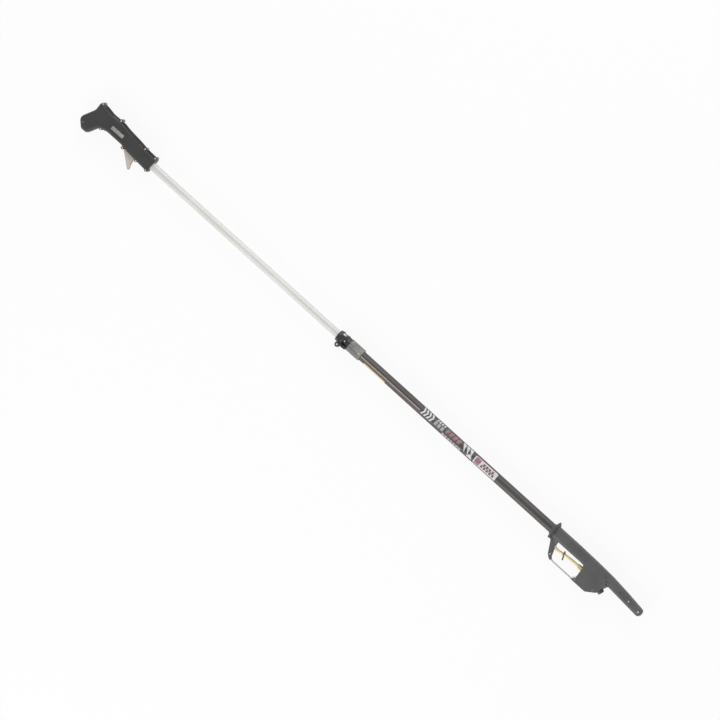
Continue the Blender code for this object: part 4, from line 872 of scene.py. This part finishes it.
def make_blend(name, side):
    """The slope that carries the belly's upper edge over into the spine."""
    bm = bmesh.new()
    rows = []
    for x, top in BLEND_STATIONS:
        share = (x - SPINE_TAPER[0]) / (SPINE_TAPER[1] - SPINE_TAPER[0])
        half = SPINE_HALF[0] + (SPINE_HALF[1] - SPINE_HALF[0]) * share
        section = [
            (BLEND_LOW, BELLY_HALF + BLEND_PROUD[0]),
            (top, half + BLEND_PROUD[1]),
            (top, half - BLEND_DEPTH),
            (BLEND_LOW, half - BLEND_DEPTH),
        ]
        rows.append([bm.verts.new(place(HEAD_X + x, y, side * z)) for y, z in section])
    for low, high in zip(rows, rows[1:]):
        for i in range(len(low)):
            j = (i + 1) % len(low)
            bm.faces.new((low[i], low[j], high[j], high[i]))
    bm.faces.new(rows[0])
    bm.faces.new(rows[-1])
    hand_in(finished(name, as_solid(bm, name), COVER_SMOOTH, HEAD_GREY), "pole", "head_moulding")


# The black skin of painted shade on the handle's upper side.
SHADE_STRIP_LIFT = 0.15  # how far the strip stands proud, and lies sunk
SHADE_STRIP_SPAN = (HANDLE_X - 246.0, HANDLE_X - 9.0)
SHADE_STRIP_LOWEST = 18.0
SHADE_STRIP_FACING = 0.85  # how squarely a face has to look across the pole
SHADE_STRIP_LUG_CLEAR = 6.5


def make_painted_shade_strip():
    """Painted shade: a black skin over the upper side of both handle covers, where that side lies in shade.
    """
    bm = bmesh.new()
    for cover in ("handle_cover_near", "handle_cover_far"):
        bm.from_mesh(bpy.data.objects[cover].data)
    bmesh.ops.remove_doubles(bm, verts=bm.verts, dist=MERGE)
    start, end = [place(x).x for x in SHADE_STRIP_SPAN]
    lowest = place(0, SHADE_STRIP_LOWEST).y
    lugs = [place(x, y).xy for x, y in HANDLE_LUGS]
    other = []
    for face in bm.faces:
        middle = face.calc_center_median()
        upper = face.normal.y > SHADE_STRIP_FACING and middle.y > lowest and start < middle.x < end
        clear = min((middle.xy - lug).length for lug in lugs) > SHADE_STRIP_LUG_CLEAR * MM
        if not (upper and clear):
            other.append(face)
    bmesh.ops.delete(bm, geom=other, context="FACES")
    for vert in bm.verts:
        vert.co.y += SHADE_STRIP_LIFT * MM
    skin = bmesh.ops.extrude_face_region(bm, geom=bm.faces[:], use_keep_orig=True)["geom"]
    for vert in [item for item in skin if isinstance(item, bmesh.types.BMVert)]:
        vert.co.y -= 2 * SHADE_STRIP_LIFT * MM
    strip = finished("painted_shade_strip", as_solid(bm, "painted_shade_strip"), SHADE_STRIP_SMOOTH, PAINTED_SHADE_BLACK)
    hand_in(strip, "handle", "graphite_moulding")


SPRING_TURNS = 7
SPRING_POINTS = 20  # to a turn
SPRING_WIRE = 0.45


def make_spring():
    """The trigger's return spring."""
    low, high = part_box("trigger_spring")
    radius = (high.x - low.x) / 2 / MM - SPRING_WIRE
    centre = ((low + high) / 2 - ORIGIN) / MM
    bottom, top = [(edge.y - ORIGIN.y) / MM for edge in (low, high)]
    count = SPRING_TURNS * SPRING_POINTS
    wire = []
    for k in range(count + 1):
        angle = 2 * math.pi * k / SPRING_POINTS
        share = k / count
        y = bottom + SPRING_WIRE + (top - bottom - 2 * SPRING_WIRE) * share
        wire.append((centre.x + radius * math.cos(angle), y, radius * math.sin(angle)))
    spring = make_cord("return_spring", wire, SPRING_WIRE, STEEL, sides=10)
    hand_in(spring, "handle", "spring_steel", "trigger_spring")
    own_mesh(spring)


FILM_SKIN = 0.12  # its thickness
FILM_LIFT = 0.03  # its gap to the tube
FILM_STEP = 1.5  # how finely it is bent round the tube
PLATE_SKIN = 0.15
PLATE_PRINT = {"lift": 0.2, "skin": 0.05}  # what is printed on the white plate lies over it
CORNER_STEPS = 5


def film(name, outlines, material, lift=FILM_LIFT, skin=FILM_SKIN):
    """A thin film laid round the outer tube. Outlines hold (distance along the pole, angle in degrees)."""
    bm = bmesh.new()
    arcs = []
    for outline in outlines:
        points = [(x, math.radians(angle) * OUTER_RADIUS) for x, angle in outline]
        arcs += [arc for _, arc in points]
        area = sum(a[0] * b[1] - b[0] * a[1] for a, b in zip(points, points[1:] + points[:1]))
        points = points if area > 0 else points[::-1]
        bm.faces.new([bm.verts.new((x, arc, 0.0)) for x, arc in points])
    first, last = min(arcs), max(arcs)
    strips = math.ceil((last - first) / FILM_STEP)
    for k in range(1, strips):
        arc = first + (last - first) * k / strips
        every = bm.verts[:] + bm.edges[:] + bm.faces[:]
        bmesh.ops.bisect_plane(bm, geom=every, plane_co=(0, arc, 0), plane_no=(0, 1, 0))
    lifted = bmesh.ops.extrude_face_region(bm, geom=bm.faces[:], use_keep_orig=True)["geom"]
    for vert in [item for item in lifted if isinstance(item, bmesh.types.BMVert)]:
        vert.co.z = skin
    for vert in bm.verts:
        angle = vert.co.y / OUTER_RADIUS
        reach = OUTER_RADIUS + lift + vert.co.z
        vert.co = place(vert.co.x, reach * math.sin(angle), reach * math.cos(angle))
    piece = finished(name, as_solid(bm, name), FILM_SMOOTH, material)
    hand_in(piece, "pole", "dark_anodised_aluminium")


def rounded(x0, x1, low, high, corner):
    """A rounded rectangle between two distances and two angles, its corner in millimetres."""
    turn = math.degrees(corner / OUTER_RADIUS)
    points = []
    for (cx, cy), first in (
        ((x1 - corner, high - turn), 0),
        ((x0 + corner, high - turn), 90),
        ((x0 + corner, low + turn), 180),
        ((x1 - corner, low + turn), 270),
    ):
        for k in range(CORNER_STEPS + 1):
            angle = math.radians(first + 90 * k / CORNER_STEPS)
            points.append((cx + corner * math.cos(angle), cy + turn * math.sin(angle)))
    return points


def slanted(length, low, high, lean):
    """A block whose ends lean forwards by so many millimetres from its low to its high side."""
    return [(0, low), (length, low), (length + lean, high), (lean, high)]


def row(outline, start, step, count):
    """An outline repeated along the pole."""
    return [[(start + step * k + x, angle) for x, angle in outline] for k in range(count)]


# The print on the tube is plain shapes alone: distances from each one's start, and angles from the top.
CHEVRON = [(0, -26), (6, -26), (12, 22), (6, 70), (0, 70), (6, 22)]
SQUARE = rounded(0, 10, -16, 28, corner=1.5)
UPPER_BAR = slanted(5, 38, 66, lean=3)
ROSE_BAR = slanted(12, -2, 56, lean=4)
LOWER_SQUARE = rounded(0, 9, -54, -26, corner=1.2)
WEDGE = [(0, 68), (13, 68), (19, -30)]
END_WEDGE = [(0, -40), (23, -40), (14, 20)]
PENNANT = [(0, -28), (9.5, -28), (4.8, 20)]
UPPER_PENNANT = [(10.3, -14), (15.0, 34), (5.6, 34)]


def make_print():
    """The plain label, the pinstripe, the tube's printed band and the plate with its pennants."""
    film("yellow_label", [rounded(115.5, 200.0, -137.0, -40.0, corner=2.0)], LABEL_YELLOW, skin=PLATE_SKIN)
    film("pinstripe", [rounded(96.6, 337.0, -11.0, 3.5, corner=1.5)], PRINT_LINE)
    film("print_chevrons", row(CHEVRON, start=341, step=11, count=4), PRINT_WHITE)
    film("print_squares", row(SQUARE, start=393, step=13, count=3), PRINT_GREY)
    film("print_upper_row", row(UPPER_BAR, start=395, step=9, count=4), PRINT_WHITE)
    film("print_rose_bars", row(ROSE_BAR, start=434, step=15, count=4), PRINT_ROSE)
    film("print_lower_row", row(LOWER_SQUARE, start=430, step=11, count=7), PRINT_GREY)
    film("print_wedges", row(WEDGE, start=498, step=14, count=3), PRINT_WHITE)
    film("print_end_wedge", row(END_WEDGE, start=526, step=0, count=1), PRINT_WHITE)
    film("white_plate", [rounded(554, 642, -46, 52, corner=4.0)], PLATE_WHITE, skin=PLATE_SKIN)
    film("plate_rose_end", [rounded(558, 577, -38, 44, corner=3.0)], PRINT_ROSE, **PLATE_PRINT)
    pennants = row(PENNANT, start=581, step=11, count=5) + row(UPPER_PENNANT, start=581, step=11, count=4)
    film("plate_pennants", pennants, PRINT_DARK, **PLATE_PRINT)


# The solids whose own shape stays, and the names of the smoothed pieces that stand for them.
COVERS = {
    "handle_shell_near": "handle_cover_near",
    "handle_shell_far": "handle_cover_far",
    "handle_label_plate": "blank_plate",
    "trigger": "finger_trigger",
    "trigger_pin": "trigger_pivot",
    "switch_body": "micro_switch",
    "switch_plunger": "switch_button",
    "tube_bush": "guide_bush",
    "clamp_sleeve": "ribbed_sleeve",
    "clamp_collar": "split_collar",
    "draw_bolt": "eye_bolt",
    "draw_nut": "bolt_nut",
    "cam_pin": "cam_axle",
    "cam_lever": "clamp_lever",
    "head_shell_near": "head_cover_near",
    "head_shell_far": "head_cover_far",
    "guard_flange": "mouth_flange",
    "guard_bow": "window_bow",
    "lead_boot": "lead_grommet",
    "cable_tie": "lead_tie",
    "outlet_nut": "outlet_ring",
    "outlet_socket": "outlet_insert",
}
for node, piece_name in COVERS.items():
    smoothed(node, piece_name)
# The far cover takes the graphite with the painted highlight on its lugs.
paint(bpy.data.objects["handle_cover_far"].data, GRAPHITE_LUG_HIGHLIGHT)
make_tubes()
make_neck_band()
make_all_screws()
make_leads()
make_gusset("gusset_edging_near", 1)
make_gusset("gusset_edging_far", -1)
make_blend("belly_blend_near", 1)
make_blend("belly_blend_far", -1)
make_painted_shade_strip()
make_spring()
make_print()


FLOOR_REACH = 30.0
FLOOR_DROP = 0.0005  # metres under the object, so that the two don't share a plane
FLOOR_COLOUR = (0.9, 0.9, 0.9, 1.0)
FLOOR_WHITE = 0.9  # how much of the floor is plain white to the camera and in reflections


def make_floor():
    """A wide pale floor that the camera sees almost white, and that keeps the object's shadow."""
    bm = bmesh.new()
    bmesh.ops.create_grid(bm, x_segments=1, y_segments=1, size=FLOOR_REACH)
    floor = linked("floor", as_mesh(bm, "floor"))
    floor.location.z = -FLOOR_DROP
    material = bpy.data.materials.new("floor")
    material.use_nodes = True
    tree = Tree(material.node_tree)
    tree.nodes.clear()
    matt = tree.node("ShaderNodeBsdfDiffuse", {}, {"Color": FLOOR_COLOUR})
    glow = tree.node("ShaderNodeEmission", {}, {"Strength": 1.0})
    seen = tree.node("ShaderNodeLightPath", output="Is Camera Ray")
    mirrored = tree.node("ShaderNodeLightPath", output="Is Glossy Ray")
    share = seen.math("MAXIMUM", mirrored) * FLOOR_WHITE
    blend = tree.node("ShaderNodeMixShader", {}, [share, matt, glow])
    output = tree.nodes.new("ShaderNodeOutputMaterial")
    tree.links.new(blend.socket, output.inputs["Surface"])
    floor.data.materials.append(material)


# Square soft boxes: their place and size in metres, and their power in watts.
LAMPS = {
    "key": ((-1.3, 4.2, 2.4), 2.8, 78.0),
    "fill": ((0.6, -3.9, 3.0), 3.2, 104.0),
}
SKY = {"From Min": 0.0, "From Max": 1.0, "To Min": 1.15, "To Max": 0.3}  # brighter at the horizon


def make_light():
    """Two soft boxes that look at the object's middle, and an even sky."""
    for name, (spot, size, power) in LAMPS.items():
        data = bpy.data.lights.new(name, "AREA")
        data.shape = "SQUARE"
        data.size = size
        data.energy = power
        lamp = linked(name, data)
        lamp.location = spot
        lamp.rotation_euler = (-Vector(spot)).to_track_quat("-Z", "Y").to_euler()
    world = bpy.data.worlds.new("studio")
    world.use_nodes = True
    tree = Tree(world.node_tree)
    ray = tree.node("ShaderNodeTexCoord", output="Generated")
    height = tree.node("ShaderNodeSeparateXYZ", {}, [ray], output=2)
    level = tree.node("ShaderNodeMapRange", {}, {"Value": height, **SKY})
    background = world.node_tree.nodes["Background"]
    background.inputs["Color"].default_value = (1.0, 1.0, 1.0, 1.0)
    tree.links.new(level.socket, background.inputs["Strength"])
    bpy.context.scene.world = world


make_floor()
make_light()
